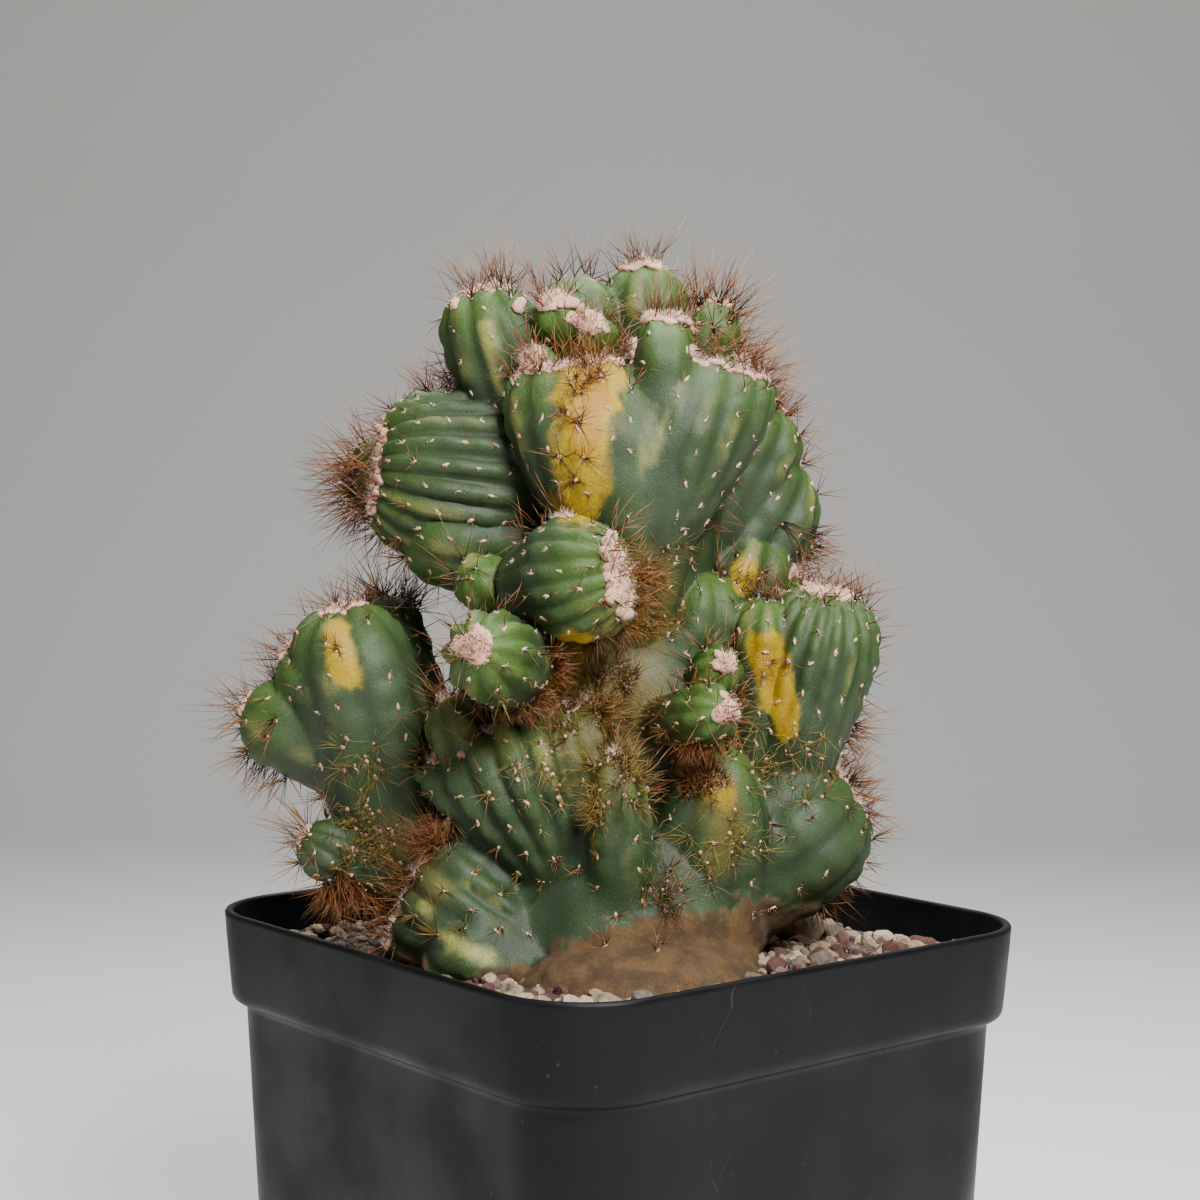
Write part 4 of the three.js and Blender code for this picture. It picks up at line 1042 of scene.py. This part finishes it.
@dataclass
class Plant:
    """The cactus: its joined skin, areoles, wool and spines."""

    step: float = 0.85
    seed: int = 29
    edge_turns: int = 4
    draw: np.random.Generator = field(init=False)
    points: np.ndarray = field(init=False)
    tree: BVHTree = field(init=False)

    def __post_init__(self) -> None:
        """Seeds the random draws."""
        self.draw = np.random.default_rng(self.seed)

    def head_mesh(self, head: Head) -> tuple[bpy.types.Object, np.ndarray]:
        """Builds one head as a closed fine mesh.

        Args:
            head: The head.

        Returns:
            Its object, and a row for each vertex: ridge, millimetres from the tip, rib number.
        """
        length = float(np.linalg.norm(np.subtract(head.tip, head.base)))
        belly = head.cap_start()
        low = max(6, math.ceil(length * belly / self.step))
        high = max(6, math.ceil(1.4 * min(head.wide, head.deep) / self.step))
        rows = np.concatenate([np.linspace(0, 1 - CAP_SHARE, low, endpoint=False),
                               np.linspace(1 - CAP_SHARE, 1, high)])
        across = max(6, 2 * round(math.pi * (head.wide + head.deep) / head.ribs / self.step / 2))
        turns = across * head.ribs
        u = np.arange(turns) / turns
        grid = head.skin(u[None, :], rows[:, None], NOTCH)
        points = np.concatenate([[head.base], grid.reshape(-1, 3)])
        faces = [(0, 1 + (i + 1) % turns, 1 + i) for i in range(turns)]
        for r in range(len(rows) - 1):
            for i in range(turns):
                a, b = 1 + r * turns + i, 1 + r * turns + (i + 1) % turns
                faces.append((a, b, b + turns, a + turns))
        ridge = np.abs(np.cos(math.pi * head.ribs * u))
        far = head.run_at(rows)
        facts = np.column_stack([np.tile(ridge, len(rows)), np.repeat(far, turns),
                                 np.tile(np.round(u * head.ribs) % head.ribs, len(rows))])
        facts = np.concatenate([[[1, far[0], 0]], facts])
        item = new_object(head.name, points, faces, self.skin_finish, True)
        work = bmesh.new()
        work.from_mesh(item.data)
        bmesh.ops.remove_doubles(work, verts=work.verts, dist=0.01 * MM)
        bmesh.ops.dissolve_degenerate(work, edges=work.edges, dist=0.001 * MM)
        work.to_mesh(item.data)
        work.free()
        return item, np.column_stack([points, facts])

    def join(self) -> None:
        """Joins all heads in one skin and works out what each vertex belongs to."""
        self.skin_finish = WaxySkin().material()
        shelf = bpy.data.collections.new("heads")
        facts = []
        for number, head in enumerate(HEADS):
            item, rows = self.head_mesh(head)
            bpy.context.scene.collection.objects.unlink(item)
            shelf.objects.link(item)
            facts.append(np.column_stack([rows, np.full(len(rows), number)]))
        facts = np.concatenate(facts)
        first = shelf.objects[0]
        shelf.objects.unlink(first)
        bpy.context.scene.collection.objects.link(first)
        union = first.modifiers.new("join", "BOOLEAN")
        union.operation = "UNION"
        union.operand_type = "COLLECTION"
        union.collection = shelf
        union.solver = "MANIFOLD"
        bpy.context.view_layer.update()
        scene_state = bpy.context.evaluated_depsgraph_get()
        joined = bpy.data.meshes.new_from_object(first.evaluated_get(scene_state))
        for item in [first, *shelf.objects]:
            bpy.data.objects.remove(item)
        bpy.data.collections.remove(shelf)

        work = bmesh.new()
        work.from_mesh(joined)
        bmesh.ops.remove_doubles(work, verts=work.verts, dist=0.08 * MM)
        bmesh.ops.triangulate(work, faces=work.faces)
        work.verts.ensure_lookup_table()
        work.to_mesh(joined)
        work.free()
        self.mesh = joined
        log.info("skin joined: %d vertices, %d faces", len(joined.vertices), len(joined.polygons))
        points = np.empty(3 * len(joined.vertices))
        joined.vertices.foreach_get("co", points)
        self.points = points.reshape(-1, 3) / MM
        near = KDTree(len(facts))
        for number, row in enumerate(facts):
            near.insert(row[:3], number)
        near.balance()
        found = np.array([near.find(p)[1] for p in self.points])
        self.facts = facts[found, 3:]

    def relax(self) -> None:
        """Softens the seams where heads meet, and gives the skin its slow unevenness."""
        edges = np.empty(2 * len(self.mesh.edges), dtype=np.int64)
        self.mesh.edges.foreach_get("vertices", edges)
        a, b = edges.reshape(-1, 2).T
        count = len(self.points)
        owner = self.facts[:, 3]
        seam = np.zeros(count)
        differs = owner[a] != owner[b]
        seam[a[differs]] = 1
        seam[b[differs]] = 1
        degree = np.bincount(a, minlength=count) + np.bincount(b, minlength=count)
        for _ in range(3):
            spread = np.bincount(a, seam[b], count) + np.bincount(b, seam[a], count)
            seam = np.maximum(seam, np.minimum(1, spread / degree * 1.3))
        low = ease(-self.points[:, 2], -112, -98) * ease(-self.points[:, 1], -2, 14)
        x, y, z = self.points.T
        sheet = ease(-y, 17, 21) * ease(4.5 - abs(x - 1.5), -3, 1)
        sheet = sheet * ease(z, 138, 144) * ease(-z, -163, -158)
        weight = np.clip(seam * (0.3 + 0.5 * low) + sheet, 0, 1)
        for turn in range(26):
            share = weight * (1 if turn < self.edge_turns else np.maximum(sheet, low * (turn < 9)))
            for axis in range(3):
                value = self.points[:, axis]
                mean = (np.bincount(a, value[b], count) + np.bincount(b, value[a], count)) / degree
                self.points[:, axis] = value + share * 0.6 * (mean - value)
        self.seam = seam
        self.mesh.vertices.foreach_set("co", (self.points * MM).ravel())
        normals = np.empty(3 * count)
        self.mesh.vertices.foreach_get("normal", normals)
        normals = normals.reshape(-1, 3)
        swell = 0.3 * wavy(self.points, 9, 11) + 0.12 * wavy(self.points, 3.2, 12)
        crust = 0.35 + 0.18 * wavy(self.points, 3.0, 13) + 0.12 * wavy(self.points, 1.3, 14)
        above = ease(self.points[:, 2], 82, 88)
        lift = swell * above + crust * self.cork_share(self.points) * ease(self.points[:, 2], 80, 82)
        self.points = self.points + normals * lift[:, None]
        self.mesh.vertices.foreach_set("co", (to_pot(self.points) * MM).ravel())
        self.mesh.update()
        corners = [tuple(p.vertices) for p in self.mesh.polygons]
        self.tree = BVHTree.FromPolygons(self.points.tolist(), corners)

    @staticmethod
    def cork_share(points: np.ndarray) -> np.ndarray:
        """How corky the skin is at its foot, up to a ragged line that climbs to the right.

        Args:
            points: Rows of x, y, z.

        Returns:
            Shares from 0 to 1.
        """
        line = 82 + 8 * ease(points[:, 0], -17, 6) - 2.5 * ease(points[:, 0], 14, 24)
        line = line + 1.1 * wavy(points, 3.5, 5) + 0.6 * wavy(points, 0.9, 6)
        return ease(line - points[:, 2], -0.3, 0.3)

    def paint_marks(self, item: bpy.types.Object) -> None:
        """Paints cream streaks, yellow patches, cork, young growth and painted shade in the furrows and
        seams by formula.

        Args:
            item: The joined skin.
        """
        points = self.points
        ridge, far, rib, owner = self.facts.T
        luck = rib_luck(owner, rib)
        shares = {mark: np.zeros(len(points)) for mark in Mark}
        for streak in STREAKS:
            shares[streak.mark] = np.maximum(shares[streak.mark], streak.share(points))
        pale = ease(luck, 0.6, 0.98) * ease(ridge, 0.75, 0.98) * ease(far, 1.5, 5) * ease(-far, -22, -10)
        pale = pale * ease(wavy(points, 5, 21), -0.2, 0.6) * 0.4
        cream = np.maximum(shares[Mark.CREAM], pale)
        cork = np.maximum(self.cork_share(points), shares[Mark.CORK])
        paint(item, "marks", np.column_stack([cream, shares[Mark.YELLOW], cork]))
        # Painted shade: tone darkens the furrows and the seams where heads meet; it goes in the growth
        # attribute's first channel
        tone = 0.25 + 0.75 * ease(ridge, 0.15, 0.8) * (1 - 0.7 * self.seam)
        vigour = np.array([1.0 if head.wide < 9 else 0.6 for head in HEADS])[owner.astype(int)]
        young = vigour * ease(-far, -15, -1) * ease(points[:, 2], 92, 118) * 0.85
        paint(item, "growth", np.column_stack([tone, young, shares[Mark.OLIVE]]))

    def build_skin(self) -> bpy.types.Object:
        """Builds the dressed skin.

        Returns:
            The skin's object.
        """
        self.join()
        self.relax()
        item = bpy.data.objects.new("cactus_skin", self.mesh)
        bpy.context.scene.collection.objects.link(item)
        self.mesh.polygons.foreach_set("use_smooth", [True] * len(self.mesh.polygons))
        self.mesh.materials.clear()
        self.mesh.materials.append(self.skin_finish)
        self.paint_marks(item)
        return mount(item, "cactus_skin", "cactus")

    def seat(self, point: np.ndarray, reach: float) -> tuple[np.ndarray, np.ndarray] | None:
        """Nearest place on the joined skin.

        Args:
            point: Where to look.
            reach: How far it may be.

        Returns:
            The place and the skin's direction there, or None.
        """
        place, normal, _, _ = self.tree.find_nearest(Vector(point), reach)
        return None if place is None else (np.array(place), np.array(normal))

    def areoles(self) -> list[tuple[np.ndarray, np.ndarray, np.ndarray, float, Head]]:
        """Places of the areoles that show: place, direction, way along the rib, mm from the tip, head."""
        found = []
        for head in HEADS:
            fine = np.linspace(0.99, 0.08, 240)
            for rib in range(head.ribs):
                u = rib / head.ribs
                line = head.skin(np.full(240, u), fine, NOTCH)
                run = head.run_at(fine)
                start = (0.4 + 0.5 * (rib % 2)) * AREOLE_STEP
                for far in np.arange(start, run[-1], AREOLE_STEP):
                    if self.draw.random() < BARE_AREOLES:
                        continue
                    q = float(np.interp(far, run, fine))
                    spot = head.skin(np.array([u]), np.array([q]), NOTCH)[0]
                    outward = head.normal(np.array([u]), np.array([q]))[0]
                    hit = self.seat(spot, 0.9)
                    if hit is None or hit[1] @ outward < 0.75 or hit[0][2] < POT_HEIGHT + 1.5:
                        continue
                    k = int(np.argmin(np.abs(fine - q)))
                    way = unit(line[max(k - 1, 0)] - line[min(k + 1, 239)])
                    found.append((hit[0], hit[1], way, far, head))
        return found

    def dress(self) -> None:
        """Adds areole wool, growth-point wool, spines and mats."""
        wool = Lumps(1)
        pads = Lumps(2)
        fluff = Strands(bent=False)
        spines = Strands()
        draw = self.draw
        spots = self.areoles()
        log.info("areoles: %d", len(spots))
        for number, (place, normal, way, far, head) in enumerate(spots):
            side = unit(np.cross(normal, way))
            axes = np.array([unit(np.cross(side, normal)), side, normal])
            size = draw.uniform(0.6, 1.2) * (0.46 if head.wide > 4 else 0.36)
            turn = draw.normal() * 0.6
            axes[:2] = [math.cos(turn) * axes[0] + math.sin(turn) * axes[1],
                        math.cos(turn) * axes[1] - math.sin(turn) * axes[0]]
            wool.add(place + normal * 0.03, axes, np.array([1.2, 0.45, 0.4]) * size, 0.3, number % 17)
            self.spines_at(spines, place, normal, far, head)
            hairs = AREOLE_HAIRS
            ways = normal * 0.8 + draw.normal(size=(hairs, 3)) * 0.6
            roots = place + draw.normal(size=(hairs, 1)) * axes[0] * 0.35
            reach = draw.uniform(0.35, 0.8, hairs)
            fluff.add(roots, ways, reach, AREOLE_HAIR_RADIUS, draw.uniform(0.5, 1, hairs))
        for head in HEADS:
            if head.pad:
                self.pad_at(head, pads, fluff, spines)
        for mat in MATS:
            self.mat_at(mat, spines, wool)
        mount(wool.build("areole_wool", Wool().material()), "cactus_skin")
        mount(pads.build("growth_wool", bpy.data.materials["areole_wool"]), "cactus_skin")
        hair = Strand("bleached_hair", "#c49a88", "#d0ae9a", "#dcc8b6", "#a8957a", 0.8).material()
        mount(fluff.build("wool_hairs", hair, 5), "cactus_skin")
        horn = Strand("horn_spine", "#3a1906", "#6e3c0f", "#946c3a", "#7d6a2c").material()
        mount(spines.build("spines", horn, 6), "cactus_skin")

    def spines_at(self, spines: Strands, place: np.ndarray, normal: np.ndarray, far: float,
                  head: Head) -> None:
        """Adds one areole's spines: many and long near the tip and on the rims, few elsewhere.

        Args:
            spines: Where they are gathered.
            place: The areole.
            normal: The skin's direction there.
            far: Millimetres from the head's tip.
            head: The head.
        """
        draw = self.draw
        rim = float(ease(1 - abs(normal[1]), 0.35, 0.95))
        young = float(ease(-far, -12, -2))
        low = float(ease(-place[2], -122, -100))
        wanted = 0.35 + 3.2 * young + 1.6 * rim + 3.4 * low
        count = int(draw.poisson(wanted * head.spiny))
        if not count:
            return
        length = 2.2 + 4.4 * max(young, 0.8 * rim) * draw.uniform(0.6, 1.3)
        ways = normal + draw.normal(size=(count, 3)) * 0.6
        lengths = length * draw.uniform(0.5, 1.25, count)
        tones = draw.uniform(0, 1, count)
        old = 0.55 * low * draw.uniform(0.3, 1)
        spines.add(np.repeat(place[None], count, 0), ways, lengths, SPINE_RADIUS, tones, old)

    def pad_at(self, head: Head, pads: Lumps, fluff: Strands, spines: Strands) -> None:
        """Adds the wool and spines on a head's growing tip or crest.

        Args:
            head: The head.
            pads: Where wool lumps are gathered.
            fluff: Where wool hairs are gathered.
            spines: Where spines are gathered.
        """
        draw = self.draw
        line = head.skin(np.array([0.0, 0.5]), np.array([1.0, 1.0]))
        span = float(np.linalg.norm(line[1] - line[0]))
        count = int(12 * head.pad ** 1.5 + 5 * span)
        facing = ease(-head.heading()[1], 0.3, 0.9)
        for number in range(count):
            share = draw.uniform(0.04, 0.96)
            spot = line[0] * (1 - share) + line[1] * share + draw.normal(size=3) * head.pad * 0.42
            hit = self.seat(spot, 3.5)
            if hit is None:
                continue
            place, normal = hit
            side = unit(np.cross(normal, draw.normal(size=3)))
            axes = np.array([side, np.cross(normal, side), normal])
            size = draw.uniform(0.6, 1.1) * min(1.15, head.pad / 1.6)
            pads.add(place + normal * 0.1 * size, axes, np.array([1, 0.8, 0.42]) * size, 0.3, number % 23)
            hairs = PAD_HAIRS
            ways = normal * 0.7 + draw.normal(size=(hairs, 3)) * 0.7
            roots = place + draw.normal(size=(hairs, 3)) * 0.4 * size
            reach = draw.uniform(0.6, 1.3, hairs)
            fluff.add(roots, ways, reach, PAD_HAIR_RADIUS, draw.uniform(0.3, 1, hairs))
            needles = int(draw.poisson(0.8))
            if needles:
                ways = normal + draw.normal(size=(needles, 3)) * 0.6
                reach = draw.uniform(4, 10.5, needles) * (1 - 0.6 * facing)
                tones = draw.uniform(0.2, 1, needles)
                spines.add(np.repeat(place[None], needles, 0), ways, reach, TIP_SPINE_RADIUS, tones,
                           droop=0.03)

    def mat_at(self, mat: Mat, spines: Strands, wool: Lumps) -> None:
        """Adds a dense mat of bunched spines.

        Args:
            mat: Its place and make-up.
            spines: Where spines are gathered.
            wool: Where wool lumps are gathered.
        """
        draw = self.draw
        for number in range(mat.bunches):
            spot = np.array(mat.place) + draw.normal(size=3) * mat.size * 0.45
            hit = self.seat(spot, mat.size + 3)
            if hit is None or hit[0][2] < POT_HEIGHT + 1.0:
                continue
            place, normal = hit
            way = unit(normal + 0.5 * np.array(mat.lean))
            ways = way + draw.normal(size=(mat.each, 3)) * mat.spread
            roots = place + draw.normal(size=(mat.each, 3)) * 0.25
            reach = draw.uniform(*mat.length, mat.each)
            spines.add(roots, ways, reach, mat.radius, draw.uniform(0.1, 1, mat.each), mat.old)
            side = unit(np.cross(normal, draw.normal(size=3)))
            axes = np.array([side, np.cross(normal, side), normal])
            wool.add(place, axes, np.array([0.36, 0.3, 0.24]) * draw.uniform(0.6, 1.2), 0.3, number % 17)


# Pot, grit and stones


@dataclass
class Pot:
    """Square black nursery pot with a smooth rim band and a soft step below it."""

    corner_steps: int = 14
    side_steps: int = 10

    def outline(self, half: float, radius: float) -> np.ndarray:
        """Rounded square, anticlockwise, with even steps.

        Args:
            half: Half its width.
            radius: Its corner radius.

        Returns:
            Rows of x and y.
        """
        rows = []
        middle = half - radius
        for corner in range(4):
            turn = corner * math.pi / 2
            for k in range(self.corner_steps):
                angle = (k / self.corner_steps) * math.pi / 2 + turn
                centre = [(1, 1), (-1, 1), (-1, -1), (1, -1)][corner]
                rows.append((centre[0] * middle + radius * math.cos(angle),
                             centre[1] * middle + radius * math.sin(angle)))
            end = turn + math.pi / 2
            centre = [(1, 1), (-1, 1), (-1, -1), (1, -1)][corner]
            after = [(-1, 1), (-1, -1), (1, -1), (1, 1)][corner]
            a = np.array([centre[0] * middle + radius * math.cos(end),
                          centre[1] * middle + radius * math.sin(end)])
            b = np.array([after[0] * middle + radius * math.cos(end),
                          after[1] * middle + radius * math.sin(end)])
            for k in range(self.side_steps):
                rows.append(tuple(a + (b - a) * k / self.side_steps))
        return np.array(rows)

    def profile(self) -> list[tuple[float, float, float]]:
        """Rows of half width, corner radius and height: up the outside, over the lip, down inside."""
        band = POT_HEIGHT - BAND_HEIGHT
        rows = [(BASE_HALF - 2.2, BASE_CORNER, 0.0), (BASE_HALF - 1.5, BASE_CORNER, 0.0),
                (BASE_HALF - 0.45, BASE_CORNER, 0.4), (BASE_HALF, BASE_CORNER, 1.5)]
        for k in range(1, 12):
            t = k / 12
            rows.append((BASE_HALF + (BODY_HALF - BASE_HALF) * t,
                         BASE_CORNER + (BODY_CORNER - BASE_CORNER) * t, 1.5 + (band - 2.5) * t))
        rows += [(BODY_HALF, BODY_CORNER, band - 1.0), (BODY_HALF + 0.12, BODY_CORNER, band - 0.35),
                 (BODY_HALF + 0.45, BODY_CORNER + 0.2, band),
                 (BODY_HALF + 1.1, BODY_CORNER + 0.6, band + 0.25),
                 (BAND_HALF - 0.35, RIM_CORNER - 0.2, band + 0.6),
                 (BAND_HALF - 0.08, RIM_CORNER, band + 1.2), (BAND_HALF, RIM_CORNER, band + 2.0)]
        for k in range(1, 6):
            t = k / 6
            rows.append((BAND_HALF + (RIM_HALF - BAND_HALF) * t, RIM_CORNER,
                         band + 2 + (BAND_HEIGHT - 2.8) * t))
        rows += [(RIM_HALF - 0.03, RIM_CORNER, POT_HEIGHT - 0.8),
                 (RIM_HALF, RIM_CORNER, POT_HEIGHT - 0.4),
                 (RIM_HALF - 0.12, RIM_CORNER, POT_HEIGHT - 0.1),
                 (RIM_HALF - 0.35, RIM_CORNER, POT_HEIGHT),
                 (RIM_HALF - 0.85, RIM_CORNER - 0.6, POT_HEIGHT),
                 (RIM_HALF - 1.08, RIM_CORNER - 0.9, POT_HEIGHT - 0.12),
                 (RIM_HALF - WALL, RIM_CORNER - WALL, POT_HEIGHT - 0.5),
                 (BAND_HALF - WALL, RIM_CORNER - WALL, band + 2.0),
                 (BODY_HALF - WALL + 0.5, BODY_CORNER - WALL, band + 0.6),
                 (BODY_HALF - WALL, BODY_CORNER - WALL, band - 0.6),
                 (BASE_HALF - WALL, BASE_CORNER - WALL, WALL + 1.5),
                 (BASE_HALF - WALL - 1.5, BASE_CORNER - WALL, WALL)]
        return rows

    def build(self) -> bpy.types.Object:
        """Builds the pot with its drain holes.

        Returns:
            The pot's object.
        """
        rows = self.profile()
        turns = 4 * (self.corner_steps + self.side_steps)
        rings = [np.column_stack([self.outline(half, radius), np.full(turns, z)])
                 for half, radius, z in rows]
        points = np.concatenate([*rings, [[0, 0, 0]], [[0, 0, WALL]]])
        faces = []
        for r in range(len(rows) - 1):
            for i in range(turns):
                a, b = r * turns + i, r * turns + (i + 1) % turns
                faces.append((a, b, b + turns, a + turns))
        low, high = len(points) - 2, len(points) - 1
        faces += [(low, (i + 1) % turns, i) for i in range(turns)]
        last = (len(rows) - 1) * turns
        faces += [(high, last + i, last + (i + 1) % turns) for i in range(turns)]
        item = new_object("nursery_pot", points, faces, PotPlastic().material())
        drills = bmesh.new()
        for sx in (-1, 1):
            for sy in (-1, 1):
                spot = Matrix.Translation((sx * DRAIN_PLACE * MM, sy * DRAIN_PLACE * MM, WALL / 2 * MM))
                bmesh.ops.create_cone(drills, cap_ends=True, segments=32, radius1=DRAIN_RADIUS * MM,
                                      radius2=DRAIN_RADIUS * MM, depth=4 * WALL * MM, matrix=spot)
        mesh = bpy.data.meshes.new("drills")
        drills.to_mesh(mesh)
        drills.free()
        tool = bpy.data.objects.new("drills", mesh)
        bpy.context.scene.collection.objects.link(tool)
        cut = item.modifiers.new("drain", "BOOLEAN")
        cut.operation = "DIFFERENCE"
        cut.object = tool
        cut.solver = "MANIFOLD"
        bpy.context.view_layer.update()
        done = bpy.data.meshes.new_from_object(item.evaluated_get(bpy.context.evaluated_depsgraph_get()))
        item.modifiers.clear()
        item.data = done
        bpy.data.objects.remove(tool)
        return mount(item, "pot_plastic", "pot")


@dataclass
class Grit:
    """The growing mix's surface: its own block, loose grit over it, and the larger stones."""

    count: int = 1500
    seed: int = 41
    tones: tuple[str, str, str, str] = ("#84705a", "#5d5247", "#4c2c22", "#9c8a72")

    def build(self) -> None:
        """Dresses the block, refines the larger stones and scatters the grit."""
        block = frame["nodes"]["growing_mix"]
        bed = Mineral("damp_grit_bed", ("#3d3026", "#3d3026", "#3d3026", "#3d3026"), 1.1).material()
        block.data.materials.clear()
        block.data.materials.append(bed)
        stone_finish = Mineral("pumice_and_lava", self.tones).material()
        for name in sorted(frame["nodes"]):
            if name.startswith("stone_"):
                self.refine(name, stone_finish)
        self.scatter(block, stone_finish)

    def refine(self, name: str, finish: bpy.types.Material) -> None:
        """Builds a finer stone in a stone's place.

        Args:
            name: The stone's node.
            finish: Its material.
        """
        source = frame["nodes"][name]
        work = bmesh.new()
        work.from_mesh(source.data)
        bmesh.ops.remove_doubles(work, verts=work.verts, dist=0.001 * MM)
        bmesh.ops.subdivide_edges(work, edges=work.edges, cuts=5, use_grid_fill=True, smooth=0.55)
        points = np.array([v.co[:] for v in work.verts]) / MM
        centre = points.mean(0)
        number = int(name[-2:])
        outward = unit(points - centre)
        rough = 0.16 * wavy(points, 1.4, number) + 0.06 * wavy(points, 0.5, number + 40) - 0.12
        points = points + outward * rough[:, None]
        faces = [tuple(v.index for v in face.verts) for face in work.faces]
        work.free()
        item = new_object("loose_" + name, points, faces, finish)
        slot = next(s["material_slot"] for s in frame["record"]["subparts"] if s["node"] == name)
        tone = 0.7 if slot == "lava" else 0.1 + 0.85 * ((number * 7) % 5 == 0)
        paint(item, "stone", np.full((len(points), 3), tone))
        mount(item, slot, name)

    def scatter(self, block: bpy.types.Object, finish: bpy.types.Material) -> None:
        """Lays loose grit on the mix.

        Args:
            block: The mix's solid.
            finish: The grit's material.
        """
        draw = np.random.default_rng(self.seed)
        bed = self.tree_of(block)
        stones = [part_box(name) for name in frame["nodes"] if name.startswith("stone_")]
        stones = [(np.add(low, high) / 2 / MM, np.subtract(high[:2], low[:2]) / MM)
                  for low, high in stones]
        grit = Lumps(2)
        laid: list[tuple[float, float, float]] = []
        c, s = math.cos(-PLANT_TURN), math.sin(-PLANT_TURN)
        tries = 0
        while len(laid) < self.count and tries < 20000:
            tries += 1
            x, y = draw.uniform(-41.5, 41.5, 2)
            size = 0.55 + 1.5 * draw.random() ** 2.4
            if abs(x) > 42 - size * 1.3 or abs(y) > 42 - size * 1.3 or abs(x) + abs(y) > 74 - size:
                continue
            if any((x - a) ** 2 + (y - b) ** 2 < (0.72 * (size + r)) ** 2 for a, b, r in laid[-700:]):
                continue
            hit = bed.ray_cast(Vector((x * MM, y * MM, 83.8 * MM)), Vector((0, 0, -1)))
            if hit[0] is None or hit[0].z / MM < 72:
                continue
            if any(math.hypot(x - p[0], y - p[1]) < 0.42 * max(w) for p, w in stones):
                continue
            z = hit[0].z / MM
            size = min(size, (POT_HEIGHT + 0.6 - z) * 0.9)
            laid.append((x, y, size))
            axes = np.array(Matrix.Rotation(draw.uniform(0, 6.28), 3, "Z")
                            @ Matrix.Rotation(draw.uniform(-0.5, 0.5), 3, "X"))
            in_plant = np.array([c * x - s * y, s * x + c * y, z + size * 0.25])
            sizes = np.array([1.15, draw.uniform(0.75, 1.1), draw.uniform(0.7, 1)]) * size
            grit.add(in_plant, axes, sizes, 0.12, int(draw.integers(0, 90)), float(draw.random()), 8)
        mount(grit.build("loose_grit", finish, "stone", False), "grit")

    @staticmethod
    def tree_of(item: bpy.types.Object) -> BVHTree:
        """Search tree of an object's own faces, in metres."""
        return BVHTree.FromPolygons([v.co[:] for v in item.data.vertices],
                                    [tuple(p.vertices) for p in item.data.polygons])


@dataclass(frozen=True)
class Studio:
    """Plain pale floor, soft lights and the photograph's camera."""

    floor: str = "#d8d6d2"
    world: str = "#dfe3e8"
    world_strength: float = 0.15
    aim_height: float = 110.0
    lamps: tuple[tuple[str, Point, float, float], ...] = (
        ("key", (150, -340, 430), 160, 7.0),
        ("fill", (-420, -220, 260), 300, 0.4),
        ("top", (20, 120, 520), 280, 3.6),
    )

    def build(self) -> None:
        """Adds the floor, the lights and the camera."""
        material, _, shader = blank("studio_paper")
        shader.inputs["Base Color"].default_value = linear(self.floor)
        shader.inputs["Roughness"].default_value = 0.9
        size, back, rise = 1500.0, 900.0, 900.0
        rows = [(-900.0, 0.0), (back - 300, 0.0)]
        rows += [(back - 300 + 300 * math.sin(a), 300 - 300 * math.cos(a))
                 for a in np.linspace(0.1, math.pi / 2, 12)]
        rows += [(back, rise)]
        points = [(x, y, z) for y, z in rows for x in (-size, size)]
        faces = [(2 * i, 2 * i + 1, 2 * i + 3, 2 * i + 2) for i in range(len(rows) - 1)]
        sweep = new_object("paper_sweep", to_pot(np.array(points)), faces, material)
        world = bpy.data.worlds.new("studio")
        bpy.context.scene.world = world
        world.use_nodes = True
        sky = world.node_tree.nodes["Background"]
        sky.inputs[0].default_value = linear(self.world)
        sky.inputs[1].default_value = self.world_strength
        for lamp in self.lamps:
            self.light(*lamp)
        self.camera()

    def light(self, name: str, place: Point, size: float, power: float) -> None:
        """Adds a square soft light that faces the plant.

        Args:
            name: Its name.
            place: Where it stands, in the plant's axes.
            size: Its side.
            power: Its power in watts.
        """
        lamp = bpy.data.lights.new(name, "AREA")
        lamp.energy = power
        lamp.size = size * MM
        item = bpy.data.objects.new(name, lamp)
        at = Vector(to_pot(np.array(place))[0] * MM)
        item.location = at
        aim = Vector((0, 0, self.aim_height * MM)) - at
        item.rotation_euler = aim.to_track_quat("-Z", "Y").to_euler()
        bpy.context.scene.collection.objects.link(item)

    @staticmethod
    def camera() -> None:
        """Sets the camera where the photograph was taken from."""
        data = bpy.data.cameras.new("camera")
        data.lens = LENS
        data.sensor_width = SENSOR
        data.sensor_fit = "HORIZONTAL"
        data.clip_start = 0.01
        forward = np.array([0, math.cos(CAMERA_PITCH), -math.sin(CAMERA_PITCH)])
        right = np.array([1.0, 0, 0])
        up = np.cross(right, forward)
        c, s = math.cos(CAMERA_ROLL), math.sin(CAMERA_ROLL)
        axes = to_pot(np.array([c * right - s * up, s * right + c * up, -forward]))
        item = bpy.data.objects.new("camera", data)
        place = Matrix.Translation(Vector(to_pot(np.array(CAMERA_PLACE))[0] * MM))
        item.matrix_world = place @ Matrix(axes.T.tolist()).to_4x4()
        bpy.context.scene.collection.objects.link(item)
        bpy.context.scene.camera = item


def main() -> None:
    """Builds the studio, the pot, the grit and the plant."""
    logging.basicConfig(level=logging.INFO, format="%(message)s")
    Studio().build()
    Pot().build()
    Grit().build()
    plant = Plant()
    plant.build_skin()
    plant.dress()


if __name__ == "__main__":
    main()
